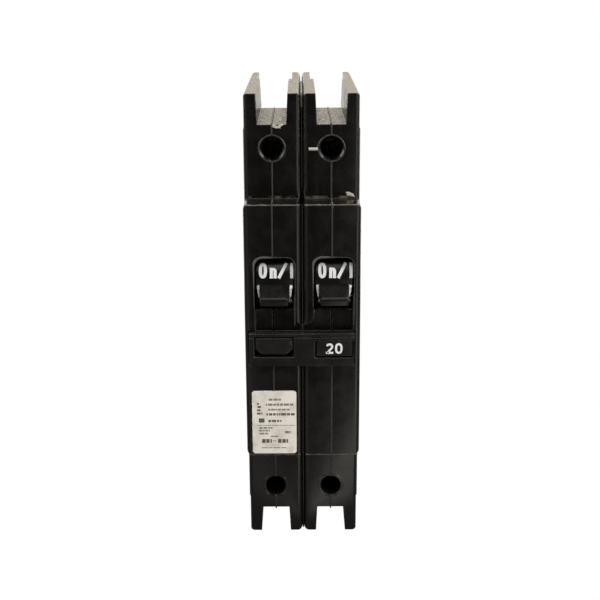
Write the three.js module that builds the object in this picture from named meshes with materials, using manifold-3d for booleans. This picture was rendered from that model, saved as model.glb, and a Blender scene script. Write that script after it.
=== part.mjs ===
// Two-pole ground-fault breaker of the cable-in, cable-out kind, in millimetres.
// x runs across the two poles, y runs from the front (handles) to the rear (rail), and z runs from the load
// end up to the line end. Depths are counted from the raised front face, and the whole assembly is then moved
// forward so that its box is centred on the origin.

import * as THREE from "three";
import { mergeVertices } from "three/addons/utils/BufferGeometryUtils.js";
import Module from "manifold-3d";

const wasm = await Module();
wasm.setup();

// Case
const LENGTH = 155;
const POLE_WIDTH = 18.75;
const POLE_CENTRE = 9.675;
const HALF_GAP = 0.1;
const SHOULDER_DEPTH = 10.6;
const CASE_DEPTH = 86.8;
const RAISED_LOW = 34.2;
const RAISED_HIGH = LENGTH - RAISED_LOW;
const EDGE_ROUND = 1.5;
const WALL = 1.8;
const RIB = { left: -0.4, tip: 0.7, front: 20, rear: 23, low: 1, high: 144, clearance: 0.3 };
const FRONT_WALL = 4;
const REAR_WALL_DEPTH = 81.4;
const CAVITY_HALF_WIDTH = POLE_WIDTH / 2 - 1.9;

// Ends: fins, wire bays and terminals, given for the line end and mirrored for the load end
const FIN_ROOT = LENGTH - 9.9;
const LOAD_FIN_ROOT = LENGTH - 9.2;
const FIN_SIDE_STEP = 0.3;
const FIN_SIDE_FROM = 143.5;
const BAY_TIP_HALF_WIDTH = 5.2;
const BAY_ROOT_HALF_WIDTH = 4.7;
const REAR_BAY_HALF_WIDTH = 6.36;
const REAR_BAY_DEPTH = 59.5;
const REAR_BAY_FLOOR = 140;
const BLOCK_DEPTH = 55.6;
const CHAMBER_LOW = 123;
const POCKET_HIGH = 131;
const POCKET_REAR = 53.8;
const HOLE_HEIGHT = LENGTH - 17.7;
const HOLE_RADIUS = 3.4;
const RIM_RADIUS = 4.45;
const RIM_DEPTH = 1.05;

// Lugs and their screws
const LUG = { halfWidth: 5.9, front: 57, rear: 80.9, low: 131.4, high: 140.8 };
const LUG_HOLE = { halfWidth: 4.3, front: 62.5, rear: 79.3 };
const SCREW = { headRadius: 3.1, radius: 2.5, front: 44, headRear: 48.5, rear: 66 };
const SCREW_SLOT = { width: 1, depth: 1.3 };
const STRAP_HALF_WIDTH = 3.8;
const STRAP_THICKNESS = 1.5;
const STRAP_TAB_DEPTH = 77.2;
const STRAP_PAD = { depth: 76.9, low: 132, high: 139.5 };

// Handles, which stand a little to the right of their pole's parting line
const HANDLE_OFFSET = 0.6;
const PIVOT = { depth: 10.3, height: 95.2 };
const DRUM_RADIUS = 9.6;
const DRUM_HALF_WIDTH = 6.3;
const DRUM_HALF_ARC = THREE.MathUtils.degToRad(105);
const LEVER_TILT = THREE.MathUtils.degToRad(18);
const LEVER_REACH = 17.1;
const LEVER = { rootWidth: 12.2, tipWidth: 9.3, rootThickness: 5, tipThickness: 3.05 };
const SHAFT_RADIUS = 1.9;
const SHAFT_HALF_LENGTH = 17.6;
const WINDOW = { halfWidth: 6.5, low: 86.5, high: 103.3, corner: 2.6, lip: 1.6, relief: 0.4 };
const TROUGH = { low: 79, deep: 2, ridgeEnd: 83.6 };

// Strip across the front, with the test button and the rating insert
const STRIP = { left: -17.6, right: 17, low: 67.1, high: 78.5, front: -2.7, rear: 0.5 };
const STRIP_GROOVE = { low: 77.1, high: 77.4, rear: -2.2 };
const STRIP_SEAT = 0.8;
const BUTTON_OPENING = { left: -15.9, right: -3, low: 70.4, high: 77.1 };
const BUTTON = { centre: -9.45, halfWidth: 6.15, low: 71, high: 76.9, front: -2.5, rear: -1.2 };
const BUTTON_CHAMFER = 2.2;
const BUTTON_POST = { radius: 1.2, length: 3 };
const BUTTON_SPRING = { turns: 4, radius: 2.1, wire: 0.28, gap: 0.6, rear: 11.4 };
const TEST_SWITCH = { halfWidth: 3.6, front: 12, rear: 17, low: 70.2, high: 76.8 };
const STEM = { halfWidth: 2.8, low: 71.8, high: 75.2, rear: 4.3 };
const STEM_HEIGHT = (STEM.low + STEM.high) / 2;
const FLANGE = { halfWidth: 4.1, low: 71.2, high: 75.8, rear: 5.5 };
const INSERT_WINDOW = { left: 4.1, right: 16.6, low: 70.1, high: 75.9 };
const INSERT = { left: 4.6, right: 16.4, low: 70.55, high: 75.7, front: -2.3, rear: -0.4, behind: 0.2 };
const LABEL = { left: -17.1, right: -2.2, low: 34.9, high: 57.6, corner: 1, front: -0.3, rear: -0.05 };

// Rivets, as depth and height
const RIVETS = [
  [16.5, 113],
  [16.5, 41.5],
  [48, 125.5],
  [48, 29.5],
  [62, 121],
  [62, 34],
];
const RIVET = { radius: 1.6, holeRadius: 1.8, headRadius: 2.9, headThickness: 1 };
const RIVET_SEAT = { radius: 3.2, depth: 1.3 };

// Contacts and trip unit
const ARM_PIVOT = { depth: 30, height: 98 };
const ARM_PIN_RADIUS = 1.2;
const CONTACT = { depth: 65, radius: 2.2, thickness: 1.1, arm: 106.6, strap: 108.1 };
const LINE_STRAP = { knee: 118, rise: 56.5, foot: 109.3, footRear: 70 };
const LOAD_STRAP = { front: 67, low: 38.3, high: 39.5 };
const ARM = { halfWidth: 2, hubRadius: 3, hubHalfWidth: 5 };
const CHUTE = { halfWidth: 6.6, front: 70.8, rear: 80.6, low: 86 };
const CHUTE_PLATES = { count: 6, pitch: 4.06, thickness: 1.1 };
const CHUTE_FRAME = { inner: 5.9, outer: 6.9, front: 73, high: 107.4 };
const CHUTE_NOTCH = { halfWidth: 2.8, rear: 75 };
const BIMETAL = { halfWidth: 3.2, front: 56, rear: 57, low: 61.5, high: 86 };
const YOKE = { halfWidth: 5.4, front: 50.6, rear: 60.7, low: 66.5, high: 78.5, wall: 1.2 };
const ARMATURE = { halfWidth: 3.6, front: 47, rear: 48.4, low: 64, high: 82.5 };
const BRAID_RADIUS = 0.9;
const TRIP_PIVOT = { depth: 31, height: 72 };
const TRIP_RADIUS = 1.5;
const TRIP_ARM = { halfWidth: 2.5, rear: 44.8, thickness: 1.4 };

// Ground-fault module
const RING = { depth: 62, low: 45, high: 53, outer: 8, inner: 3.6, round: 1 };
const RING_WINDOW = { front: 52, rear: 72, low: 37, high: 61 };
const SOLENOID = { depth: 40.5, low: 42, high: 60, radius: 4.2, bore: 1.7 };
const PLUNGER = { radius: 1.4, floor: 6, headRadius: 2.2, headLow: 68.8, headHigh: 70.3 };
const WIRE_RADIUS = 1.3;
const BOARD = { left: -16.4, right: -15.2, front: 21, rear: 48, low: 38, high: 68 };
const BOARD_PARTS = [
  { height: 2.6, front: 26, rear: 33, low: 58, high: 65 },
  { height: 1.8, front: 36, rear: 45, low: 60, high: 65 },
  { height: 2.8, front: 24, rear: 28, low: 41, high: 52 },
];
const CAPACITOR = { radius: 3, reach: 5.7, depth: 38, height: 50 };

// Rear: seat for a 35 mm rail and its sliding latches
const RAIL = { seat: 84, pocket: 83.8, lipDepth: 85.2, low: 59.6, high: 95.2, lipLow: 93.6 };
const LATCH = { wide: 4.6, narrow: 3.1, front: 83.8, step: 85.1, rear: 86.5, low: 6, high: 61.2 };
const LATCH_SHOULDER = 59.4;
const LATCH_SLOT = { halfWidth: 1.8, low: 8, high: 10 };
const LATCH_CHANNEL = { wide: 4.9, narrow: 3.4, front: 83.5, low: 14, high: 61.5 };

const TIP_HALF_THICKNESS = LEVER.tipThickness / 2;
const TIP_FORWARD = LEVER_REACH * Math.cos(LEVER_TILT) + TIP_HALF_THICKNESS * Math.sin(LEVER_TILT);
const FRONTMOST = PIVOT.depth - TIP_FORWARD;
const MID_DEPTH = (CASE_DEPTH + FRONTMOST) / 2;
const FAR = 200;

const finish = (color, roughness, metalness = 0) =>
  new THREE.MeshStandardMaterial({ color, roughness, metalness });
const MATERIALS = {
  caseBlack: finish(0x141413, 0.5),
  stripBlack: finish(0x1b1a19, 0.45),
  handleBlack: finish(0x171615, 0.4),
  labelCream: finish(0xe6dfcd, 0.7),
  steel: finish(0xa9a8a3, 0.4, 1),
  zinc: finish(0xb9b7b0, 0.45, 1),
  copper: finish(0xb87048, 0.4, 1),
  silver: finish(0xcfcfcb, 0.35, 1),
  aluminium: finish(0xb4b5b6, 0.5, 1),
  fibre: finish(0x8a4b32, 0.8),
  board: finish(0x2c6a3c, 0.6),
  winding: finish(0x9c5a2c, 0.5),
  wireJacket: finish(0x30302f, 0.6),
};

/** A closed solid for cutting and joining, from any closed three.js geometry. */
function solid(geometry) {
  const bare = geometry.clone();
  bare.deleteAttribute("normal");
  bare.deleteAttribute("uv");
  const merged = mergeVertices(bare, 1e-4);
  return new wasm.Manifold(
    new wasm.Mesh({
      numProp: 3,
      vertProperties: new Float32Array(merged.attributes.position.array),
      triVerts: new Uint32Array(merged.index.array),
    }),
  );
}

/** The solid's surface as a geometry with flat shading. */
function surface(body) {
  const mesh = body.getMesh();
  const geometry = new THREE.BufferGeometry();
  geometry.setAttribute("position", new THREE.BufferAttribute(new Float32Array(mesh.vertProperties), 3));
  geometry.setIndex(new THREE.BufferAttribute(new Uint32Array(mesh.triVerts), 1));
  const flat = geometry.toNonIndexed();
  flat.computeVertexNormals();
  return flat;
}

/** A box between two corners. */
function box(x0, x1, y0, y1, z0, z1) {
  const geometry = new THREE.BoxGeometry(x1 - x0, y1 - y0, z1 - z0);
  return geometry.translate((x0 + x1) / 2, (y0 + y1) / 2, (z0 + z1) / 2);
}

/** A box about a centre line at x, given by its half width. */
function centred(x, halfWidth, y0, y1, z0, z1) {
  return box(x - halfWidth, x + halfWidth, y0, y1, z0, z1);
}

/** A cylinder along x. */
function crossRod(radius, x0, x1, depth, height, segments = 16) {
  const geometry = new THREE.CylinderGeometry(radius, radius, x1 - x0, segments);
  return geometry.rotateZ(Math.PI / 2).translate((x0 + x1) / 2, depth, height);
}

/** A cylinder or cone along the depth. */
function depthRod(frontRadius, rearRadius, x, y0, y1, height, segments = 24) {
  const geometry = new THREE.CylinderGeometry(rearRadius, frontRadius, y1 - y0, segments);
  return geometry.translate(x, (y0 + y1) / 2, height);
}

/** A cylinder along z. */
function upright(radius, x, depth, z0, z1, segments = 24) {
  const geometry = new THREE.CylinderGeometry(radius, radius, z1 - z0, segments);
  return geometry.rotateX(Math.PI / 2).translate(x, depth, (z0 + z1) / 2);
}

/** A closed outline through the given points. */
function outline(points) {
  return new THREE.Shape(points.map(([a, b]) => new THREE.Vector2(a, b)));
}

/** A side outline, drawn as depth and height, carried across from x0 to x1. */
function sideProfile(shape, x0, x1) {
  const settings = { depth: x1 - x0, bevelEnabled: false, curveSegments: 20 };
  const geometry = new THREE.ExtrudeGeometry(shape, settings);
  const turn = new THREE.Matrix4().makeBasis(
    new THREE.Vector3(0, 1, 0),
    new THREE.Vector3(0, 0, 1),
    new THREE.Vector3(1, 0, 0),
  );
  return geometry.applyMatrix4(turn).translate(x0, 0, 0);
}

/** A front outline, drawn as x and z, carried back from depth y0 to y1. */
function frontProfile(shape, y0, y1) {
  const settings = { depth: y1 - y0, bevelEnabled: false, curveSegments: 8 };
  const geometry = new THREE.ExtrudeGeometry(shape, settings);
  return geometry.rotateX(Math.PI / 2).translate(0, y1, 0);
}

/** A round tube along a smooth curve through the points. */
function tube(points, radius, steps, sides = 8) {
  const path = new THREE.CatmullRomCurve3(points.map((p) => new THREE.Vector3(...p)));
  const section = new THREE.Shape();
  section.absarc(0, 0, radius, 0, Math.PI * 2);
  return new THREE.ExtrudeGeometry(section, { steps, extrudePath: path, curveSegments: sides / 2 });
}

/** The same piece at the other end of the case. */
function atLoadEnd(body) {
  return body.mirror([0, 0, 1]).translate([0, 0, LENGTH]);
}

/** Joins a list of geometries into one solid. */
function joined(geometries) {
  return geometries.map(solid).reduce((whole, part) => whole.add(part));
}

/** A rounded rectangle in the front plane. */
function roundedRectangle(x0, x1, z0, z1, corner) {
  const shape = new THREE.Shape();
  shape.moveTo(x0 + corner, z0);
  shape.lineTo(x1 - corner, z0);
  shape.absarc(x1 - corner, z0 + corner, corner, -Math.PI / 2, 0);
  shape.lineTo(x1, z1 - corner);
  shape.absarc(x1 - corner, z1 - corner, corner, 0, Math.PI / 2);
  shape.lineTo(x0 + corner, z1);
  shape.absarc(x0 + corner, z1 - corner, corner, Math.PI / 2, Math.PI);
  shape.lineTo(x0, z0 + corner);
  shape.absarc(x0 + corner, z0 + corner, corner, Math.PI, Math.PI * 1.5);
  return shape;
}

// Case shells

/** One whole pole with its outer edges rounded. */
function poleBlock(x) {
  const side = outline([
    [SHOULDER_DEPTH, 0],
    [CASE_DEPTH, 0],
    [CASE_DEPTH, LENGTH],
    [SHOULDER_DEPTH, LENGTH],
    [SHOULDER_DEPTH, RAISED_HIGH],
    [0, RAISED_HIGH],
    [0, RAISED_LOW],
    [SHOULDER_DEPTH, RAISED_LOW],
  ]);
  const geometry = new THREE.ExtrudeGeometry(side, {
    depth: POLE_WIDTH - 2 * EDGE_ROUND,
    bevelThickness: EDGE_ROUND,
    bevelSize: EDGE_ROUND,
    bevelOffset: -EDGE_ROUND,
    bevelSegments: 3,
  });
  const turn = new THREE.Matrix4().makeBasis(
    new THREE.Vector3(0, 1, 0),
    new THREE.Vector3(0, 0, 1),
    new THREE.Vector3(1, 0, 0),
  );
  return solid(geometry.applyMatrix4(turn).translate(x - POLE_WIDTH / 2 + EDGE_ROUND, 0, 0));
}

/** The room for the works inside one pole. */
function poleCavity(x) {
  const partition = CHAMBER_LOW - 4;
  const shoulder = SHOULDER_DEPTH + WALL;
  const mirrored = (z) => LENGTH - z;
  const room = outline([
    [FRONT_WALL, mirrored(partition)],
    [FRONT_WALL, partition],
    [shoulder, partition],
    [shoulder, POCKET_HIGH],
    [POCKET_REAR, POCKET_HIGH],
    [POCKET_REAR, partition],
    [REAR_WALL_DEPTH, partition],
    [REAR_WALL_DEPTH, mirrored(partition)],
    [POCKET_REAR, mirrored(partition)],
    [POCKET_REAR, mirrored(POCKET_HIGH)],
    [shoulder, mirrored(POCKET_HIGH)],
    [shoulder, mirrored(partition)],
  ]);
  return solid(sideProfile(room, x - CAVITY_HALF_WIDTH, x + CAVITY_HALF_WIDTH));
}

/** What is cut away at one pole's line end: bay, terminal chamber, strap slot and screwdriver hole. */
function endCutter(x, rimDepth, root) {
  const tab = STRAP_TAB_DEPTH;
  const bay = outline([
    [x - BAY_ROOT_HALF_WIDTH, root],
    [x + BAY_ROOT_HALF_WIDTH, root],
    [x + BAY_TIP_HALF_WIDTH, LENGTH + 1],
    [x - BAY_TIP_HALF_WIDTH, LENGTH + 1],
  ]);
  const rimRadius = HOLE_RADIUS + (RIM_RADIUS - HOLE_RADIUS) * (rimDepth / RIM_DEPTH);
  return joined([
    frontProfile(bay, 0, REAR_BAY_DEPTH + 1),
    centred(x, REAR_BAY_HALF_WIDTH, REAR_BAY_DEPTH, CASE_DEPTH + 1, REAR_BAY_FLOOR, LENGTH + 1),
    centred(x, REAR_BAY_HALF_WIDTH, BLOCK_DEPTH, REAR_WALL_DEPTH, CHAMBER_LOW, root + 0.01),
    centred(x, STRAP_HALF_WIDTH + 0.4, tab - 0.3, tab + 1.8, CHAMBER_LOW - 5, CHAMBER_LOW + 1),
    depthRod(HOLE_RADIUS, HOLE_RADIUS, x, SHOULDER_DEPTH - 1, BLOCK_DEPTH + 1, HOLE_HEIGHT),
    depthRod(rimRadius, HOLE_RADIUS, x, SHOULDER_DEPTH - 0.01, SHOULDER_DEPTH + rimDepth, HOLE_HEIGHT),
  ]);
}

/**
 * The handle window, wider behind its lip, and the trough under it, which runs round the end of the ridge
 * between the windows.
 */
function handleCutter(side) {
  const x = side * POLE_CENTRE + HANDLE_OFFSET;
  const { halfWidth, low, high, corner, lip, relief } = WINDOW;
  const window = new THREE.Shape();
  window.moveTo(x - halfWidth, low - 1);
  window.lineTo(x + halfWidth, low - 1);
  window.lineTo(x + halfWidth, high - corner);
  window.absarc(x + halfWidth - corner, high - corner, corner, 0, Math.PI / 2);
  window.lineTo(x - halfWidth + corner, high);
  window.absarc(x - halfWidth + corner, high - corner, corner, Math.PI / 2, Math.PI);
  const outside = x + side * halfWidth;
  const [left, right] = [Math.min(0, outside), Math.max(0, outside)];
  const trough = solid(box(left, right, -1, TROUGH.deep, TROUGH.low - 1, low));
  const half = POLE_CENTRE - halfWidth;
  const ridge = joined([
    centred(HANDLE_OFFSET, half, -2, TROUGH.deep + 1, TROUGH.ridgeEnd, low + 1),
    depthRod(half, half, HANDLE_OFFSET, -2, TROUGH.deep + 1, TROUGH.ridgeEnd),
  ]);
  const opening = joined([
    frontProfile(window, -1, lip),
    centred(x, halfWidth + relief, lip - 0.1, FRONT_WALL + 0.1, low - 1, high + relief),
  ]);
  return opening.add(trough.subtract(ridge));
}

/** The rail seat, its fixed lip and the channel of the sliding latch. */
function rearCutter(x) {
  const { wide, narrow, front, low, high } = LATCH_CHANNEL;
  return joined([
    box(-FAR, FAR, RAIL.seat, RAIL.lipDepth, RAIL.low, RAIL.high),
    box(-FAR, FAR, RAIL.pocket, RAIL.lipDepth, RAIL.lipLow - 0.3, RAIL.high),
    box(-FAR, FAR, RAIL.lipDepth - 0.1, CASE_DEPTH + 1, RAIL.low, RAIL.lipLow),
    centred(x, wide, front, RAIL.lipDepth, low, high),
    centred(x, narrow, RAIL.lipDepth - 0.1, CASE_DEPTH + 1, low, high),
  ]);
}

/** Holes for rivets, shafts and pins, the strip's seat, and the current transformer's window. */
function sharedCutter(side) {
  const outside = side * (POLE_CENTRE + POLE_WIDTH / 2);
  const seats = RIVETS.flatMap(([depth, height]) => [
    crossRod(RIVET.holeRadius, -FAR, FAR, depth, height, 12),
    crossRod(RIVET_SEAT.radius, outside - RIVET_SEAT.depth, outside + RIVET_SEAT.depth, depth, height),
  ]);
  const blind = SHAFT_HALF_LENGTH + 0.2;
  const pinReach = CAVITY_HALF_WIDTH + 0.8;
  const x = side * POLE_CENTRE;
  const edge = POLE_CENTRE + POLE_WIDTH / 2 - FIN_SIDE_STEP;
  const [sideNear, sideFar] = side > 0 ? [edge, FAR] : [-FAR, -edge];
  return joined([
    ...seats,
    crossRod(SHAFT_RADIUS + 0.15, -blind, blind, PIVOT.depth, PIVOT.height),
    crossRod(TRIP_RADIUS + 0.15, -blind, blind, TRIP_PIVOT.depth, TRIP_PIVOT.height),
    crossRod(ARM_PIN_RADIUS + 0.1, x - pinReach, x + pinReach, ARM_PIVOT.depth, ARM_PIVOT.height),
    box(STRIP.left - 0.2, STRIP.right + 0.2, -1, STRIP_SEAT, STRIP.low - 0.2, STRIP.high + 0.2),
    box(-3, 3, RING_WINDOW.front, RING_WINDOW.rear, RING_WINDOW.low, RING_WINDOW.high),
    box(sideNear, sideFar, 0, FAR, FIN_SIDE_FROM, LENGTH + 1),
    box(sideNear, sideFar, 0, FAR, -1, LENGTH - FIN_SIDE_FROM + 1.9),
  ]);
}

/** The locating rib between the poles, which stands on the left pole and fits a slot in the right one. */
function poleRib(clearance) {
  const { left, tip, front, rear, low, high } = RIB;
  const c = clearance;
  return solid(box(left, tip + c, front - c, rear + c, low - c, high + c));
}

/** The hole for the test button's stem, in the left pole only. */
function stemHole() {
  const { centre } = BUTTON;
  return solid(centred(centre, STEM.halfWidth + 0.3, -1, FRONT_WALL + 1, STEM.low - 0.3, STEM.high + 0.3));
}

/** The outer and inner half shells of one pole. */
function poleShells(side, name) {
  const x = side * POLE_CENTRE;
  const cutters = [
    poleCavity(x),
    endCutter(x, RIM_DEPTH, FIN_ROOT),
    atLoadEnd(endCutter(x, 0.3, LOAD_FIN_ROOT)),
    handleCutter(side),
    rearCutter(x),
    sharedCutter(side),
  ];
  cutters.push(side < 0 ? stemHole() : poleRib(RIB.clearance));
  const block = side < 0 ? poleBlock(x).add(poleRib(0)) : poleBlock(x);
  const pole = cutters.reduce((body, cutter) => body.subtract(cutter), block);
  const rightHalf = pole.intersect(solid(box(x + HALF_GAP, FAR, -FAR, FAR, -FAR, FAR)));
  const leftHalf = pole.intersect(solid(box(-FAR, x - HALF_GAP, -FAR, FAR, -FAR, FAR)));
  return [
    [`${name}_outer_shell`, side > 0 ? rightHalf : leftHalf],
    [`${name}_inner_shell`, side > 0 ? leftHalf : rightHalf],
  ].map(([shell, body]) => mesh(shell, body, MATERIALS.caseBlack));
}

/** A named mesh from a solid or a geometry. */
function mesh(name, shape, material) {
  const geometry = shape instanceof THREE.BufferGeometry ? shape : surface(shape);
  const piece = new THREE.Mesh(geometry, material);
  piece.name = name;
  return piece;
}

/** One rivet through both poles, with a head at each side. */
function rivet(index, depth, height) {
  const half = POLE_CENTRE + POLE_WIDTH / 2 - 0.2;
  const seat = half + 0.2 - RIVET_SEAT.depth + 0.15;
  const body = joined([
    crossRod(RIVET.radius, -half + 0.5, half - 0.5, depth, height, 12),
    crossRod(RIVET.headRadius, -half, -seat, depth, height),
    crossRod(RIVET.headRadius, seat, half, depth, height),
  ]);
  return mesh(`rivet_${index + 1}`, body, MATERIALS.steel);
}

// Terminals

/** A box lug around its wire hole, with the screw's hole in its front wall. */
function lugBody(x) {
  const block = solid(centred(x, LUG.halfWidth, LUG.front, LUG.rear, LUG.low, LUG.high));
  const { halfWidth, front, rear } = LUG_HOLE;
  const wireHole = centred(x, halfWidth, front, rear, LUG.low - 1, LUG.high + 1);
  const screwRadius = SCREW.radius + 0.2;
  const screwHole = depthRod(screwRadius, screwRadius, x, LUG.front - 1, front + 1, HOLE_HEIGHT);
  return block.subtract(joined([wireHole, screwHole]));
}

/** The slotted screw of a lug. */
function screwBody(x) {
  const body = joined([
    depthRod(SCREW.headRadius, SCREW.headRadius, x, SCREW.front, SCREW.headRear, HOLE_HEIGHT),
    depthRod(SCREW.radius, SCREW.radius, x, SCREW.headRear - 0.5, SCREW.rear, HOLE_HEIGHT, 20),
  ]);
  const slotRear = SCREW.front + SCREW_SLOT.depth;
  const low = HOLE_HEIGHT - SCREW_SLOT.width / 2;
  const high = HOLE_HEIGHT + SCREW_SLOT.width / 2;
  const slot = centred(x, SCREW.headRadius + 1, SCREW.front - 1, slotRear, low, high);
  return body.subtract(solid(slot));
}

/** Both lugs and both screws of one pole. */
function poleTerminals(side, name) {
  const x = side * POLE_CENTRE;
  return [
    mesh(`${name}_line_lug`, lugBody(x), MATERIALS.aluminium),
    mesh(`${name}_load_lug`, atLoadEnd(lugBody(x)), MATERIALS.aluminium),
    mesh(`${name}_line_screw`, screwBody(x), MATERIALS.zinc),
    mesh(`${name}_load_screw`, atLoadEnd(screwBody(x)), MATERIALS.zinc),
  ];
}

// Current path

/** The strap from the line lug to the fixed contact, with a raised clamping pad inside the lug. */
function lineStrap(x) {
  const { knee, rise, foot, footRear } = LINE_STRAP;
  const rear = STRAP_TAB_DEPTH + STRAP_THICKNESS;
  const shape = outline([
    [STRAP_PAD.depth, STRAP_PAD.high],
    [rear, STRAP_PAD.high],
    [rear, knee - STRAP_THICKNESS],
    [rise + STRAP_THICKNESS, knee - STRAP_THICKNESS],
    [rise + STRAP_THICKNESS, foot + STRAP_THICKNESS],
    [footRear, foot + STRAP_THICKNESS],
    [footRear, foot],
    [rise, foot],
    [rise, knee],
    [STRAP_TAB_DEPTH, knee],
    [STRAP_TAB_DEPTH, STRAP_PAD.low],
    [STRAP_PAD.depth, STRAP_PAD.low],
  ]);
  return sideProfile(shape, x - STRAP_HALF_WIDTH, x + STRAP_HALF_WIDTH);
}

/** The strap from the load wire to the load lug, with the same clamping pad. */
function loadStrap(x) {
  const rear = STRAP_TAB_DEPTH + STRAP_THICKNESS;
  const shape = outline([
    [STRAP_PAD.depth, LENGTH - STRAP_PAD.high],
    [rear, LENGTH - STRAP_PAD.high],
    [rear, LOAD_STRAP.high],
    [LOAD_STRAP.front, LOAD_STRAP.high],
    [LOAD_STRAP.front, LOAD_STRAP.low],
    [STRAP_TAB_DEPTH, LOAD_STRAP.low],
    [STRAP_TAB_DEPTH, LENGTH - STRAP_PAD.low],
    [STRAP_PAD.depth, LENGTH - STRAP_PAD.low],
  ]);
  return sideProfile(shape, x - STRAP_HALF_WIDTH, x + STRAP_HALF_WIDTH);
}

/** The contact arm with the eye for its pin. */
function contactArm(x) {
  const shape = outline([
    [27.4, 96],
    [29, 94.9],
    [33, 95.4],
    [69, 101.6],
    [69, 106.5],
    [61, 106.5],
    [33, 101],
    [29, 101.1],
    [27.4, 100],
  ]);
  const { depth, height } = ARM_PIVOT;
  const bar = solid(sideProfile(shape, x - ARM.halfWidth, x + ARM.halfWidth));
  const hub = solid(crossRod(ARM.hubRadius, x - ARM.hubHalfWidth, x + ARM.hubHalfWidth, depth, height));
  const eye = solid(crossRod(ARM_PIN_RADIUS + 0.1, x - FAR, x + FAR, depth, height));
  return bar.add(hub).subtract(eye);
}

/** A stack of splitter plates with a notch towards the contacts, held by a side frame. */
function arcChute(x) {
  const { inner, outer, front, high } = CHUTE_FRAME;
  const plates = Array.from({ length: CHUTE_PLATES.count }, (_, index) => {
    const low = CHUTE.low + index * CHUTE_PLATES.pitch;
    return centred(x, CHUTE.halfWidth, CHUTE.front, CHUTE.rear, low, low + CHUTE_PLATES.thickness);
  });
  const frames = [
    box(x - outer, x - inner, front, CHUTE.rear, CHUTE.low, high),
    box(x + inner, x + outer, front, CHUTE.rear, CHUTE.low, high),
  ];
  const { halfWidth, rear } = CHUTE_NOTCH;
  const notch = centred(x, halfWidth, CHUTE.front - 1, rear, CHUTE.low - 1, high + 1);
  return joined([...plates, ...frames]).subtract(solid(notch));
}

/** The iron yoke around the bimetal, open towards the armature. */
function magnetYoke(x) {
  const { halfWidth, front, rear, low, high, wall } = YOKE;
  const outer = solid(centred(x, halfWidth, front, rear, low, high));
  return outer.subtract(solid(centred(x, halfWidth - wall, front - 1, rear - wall, low - 1, high + 1)));
}

/** A flat strip that stands along z. */
function strip(x, { halfWidth, front, rear, low, high }) {
  return centred(x, halfWidth, front, rear, low, high);
}

/** The wire from the bimetal, through the transformer's ring, to the load strap. */
function loadWire(side) {
  const across = (x, depth, height) => [side * x, depth, height];
  const points = [
    across(9.675, 58.9, 65.2),
    across(9.5, 59.1, 63),
    across(6.6, 60, 59.6),
    across(3.2, 61.6, 57.6),
    across(1.85, 62, 54.5),
    across(1.8, 62, 49),
    across(1.85, 62, 43.8),
    across(3.4, 62.8, 41.4),
    across(7, 64.6, 41.1),
    across(9.3, 68, 41.1),
    across(9.675, 75, 41.1),
  ];
  return tube(points, WIRE_RADIUS, 30);
}

/** The flexible braid from the bimetal to the arm's hub. */
function braid(x) {
  const points = [
    [x, 54.8, 79.5],
    [x, 54.8, 84],
    [x, 51.5, 87.4],
    [x, 45, 88.4],
    [x, 37, 89],
    [x, 32, 90.6],
    [x, 30.4, 93.4],
  ];
  return tube(points, BRAID_RADIUS, 16, 6);
}

/** Everything that carries or breaks the current in one pole. */
function poleWorks(side, name) {
  const x = side * POLE_CENTRE;
  const { depth, radius, thickness, strap, arm } = CONTACT;
  const pinReach = CAVITY_HALF_WIDTH + 0.6;
  return [
    mesh(`${name}_line_strap`, lineStrap(x), MATERIALS.copper),
    mesh(`${name}_load_strap`, loadStrap(x), MATERIALS.copper),
    mesh(`${name}_fixed_contact`, upright(radius, x, depth, strap, strap + thickness), MATERIALS.silver),
    mesh(`${name}_moving_contact`, upright(radius, x, depth, arm, arm + thickness), MATERIALS.silver),
    mesh(`${name}_contact_arm`, contactArm(x), MATERIALS.copper),
    mesh(
      `${name}_arm_pin`,
      crossRod(ARM_PIN_RADIUS, x - pinReach, x + pinReach, ARM_PIVOT.depth, ARM_PIVOT.height),
      MATERIALS.steel,
    ),
    mesh(`${name}_arc_chute`, arcChute(x), MATERIALS.steel),
    mesh(`${name}_bimetal`, strip(x, BIMETAL), MATERIALS.zinc),
    mesh(`${name}_magnet_yoke`, magnetYoke(x), MATERIALS.steel),
    mesh(`${name}_armature`, strip(x, ARMATURE), MATERIALS.steel),
    mesh(`${name}_braid`, braid(x), MATERIALS.copper),
    mesh(`${name}_load_wire`, loadWire(side), MATERIALS.wireJacket),
  ];
}

// Handles

/** The lever: a box that narrows and thins towards its tip, along -y. */
function leverGeometry() {
  const root = DRUM_RADIUS - 2;
  const geometry = new THREE.BoxGeometry(LEVER.rootWidth, LEVER_REACH - root, LEVER.rootThickness);
  const position = geometry.attributes.position;
  for (let i = 0; i < position.count; i += 1) {
    if (position.getY(i) < 0) {
      position.setX(i, (position.getX(i) * LEVER.tipWidth) / LEVER.rootWidth);
      position.setZ(i, (position.getZ(i) * LEVER.tipThickness) / LEVER.rootThickness);
    }
  }
  return geometry.translate(0, -(LEVER_REACH + root) / 2, 0);
}

/** One handle: a drum with a lever, bored for the shaft. */
function handleBody(x) {
  const { depth, height } = PIVOT;
  const arc = new THREE.Shape();
  arc.absarc(depth, height, DRUM_RADIUS, Math.PI - DRUM_HALF_ARC, Math.PI + DRUM_HALF_ARC);
  const drum = solid(sideProfile(arc, x - DRUM_HALF_WIDTH, x + DRUM_HALF_WIDTH));
  const lever = solid(leverGeometry().rotateX(LEVER_TILT).translate(x, depth, height));
  const bore = solid(crossRod(SHAFT_RADIUS + 0.1, x - FAR, x + FAR, depth, height));
  return drum.add(lever).subtract(bore);
}

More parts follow.
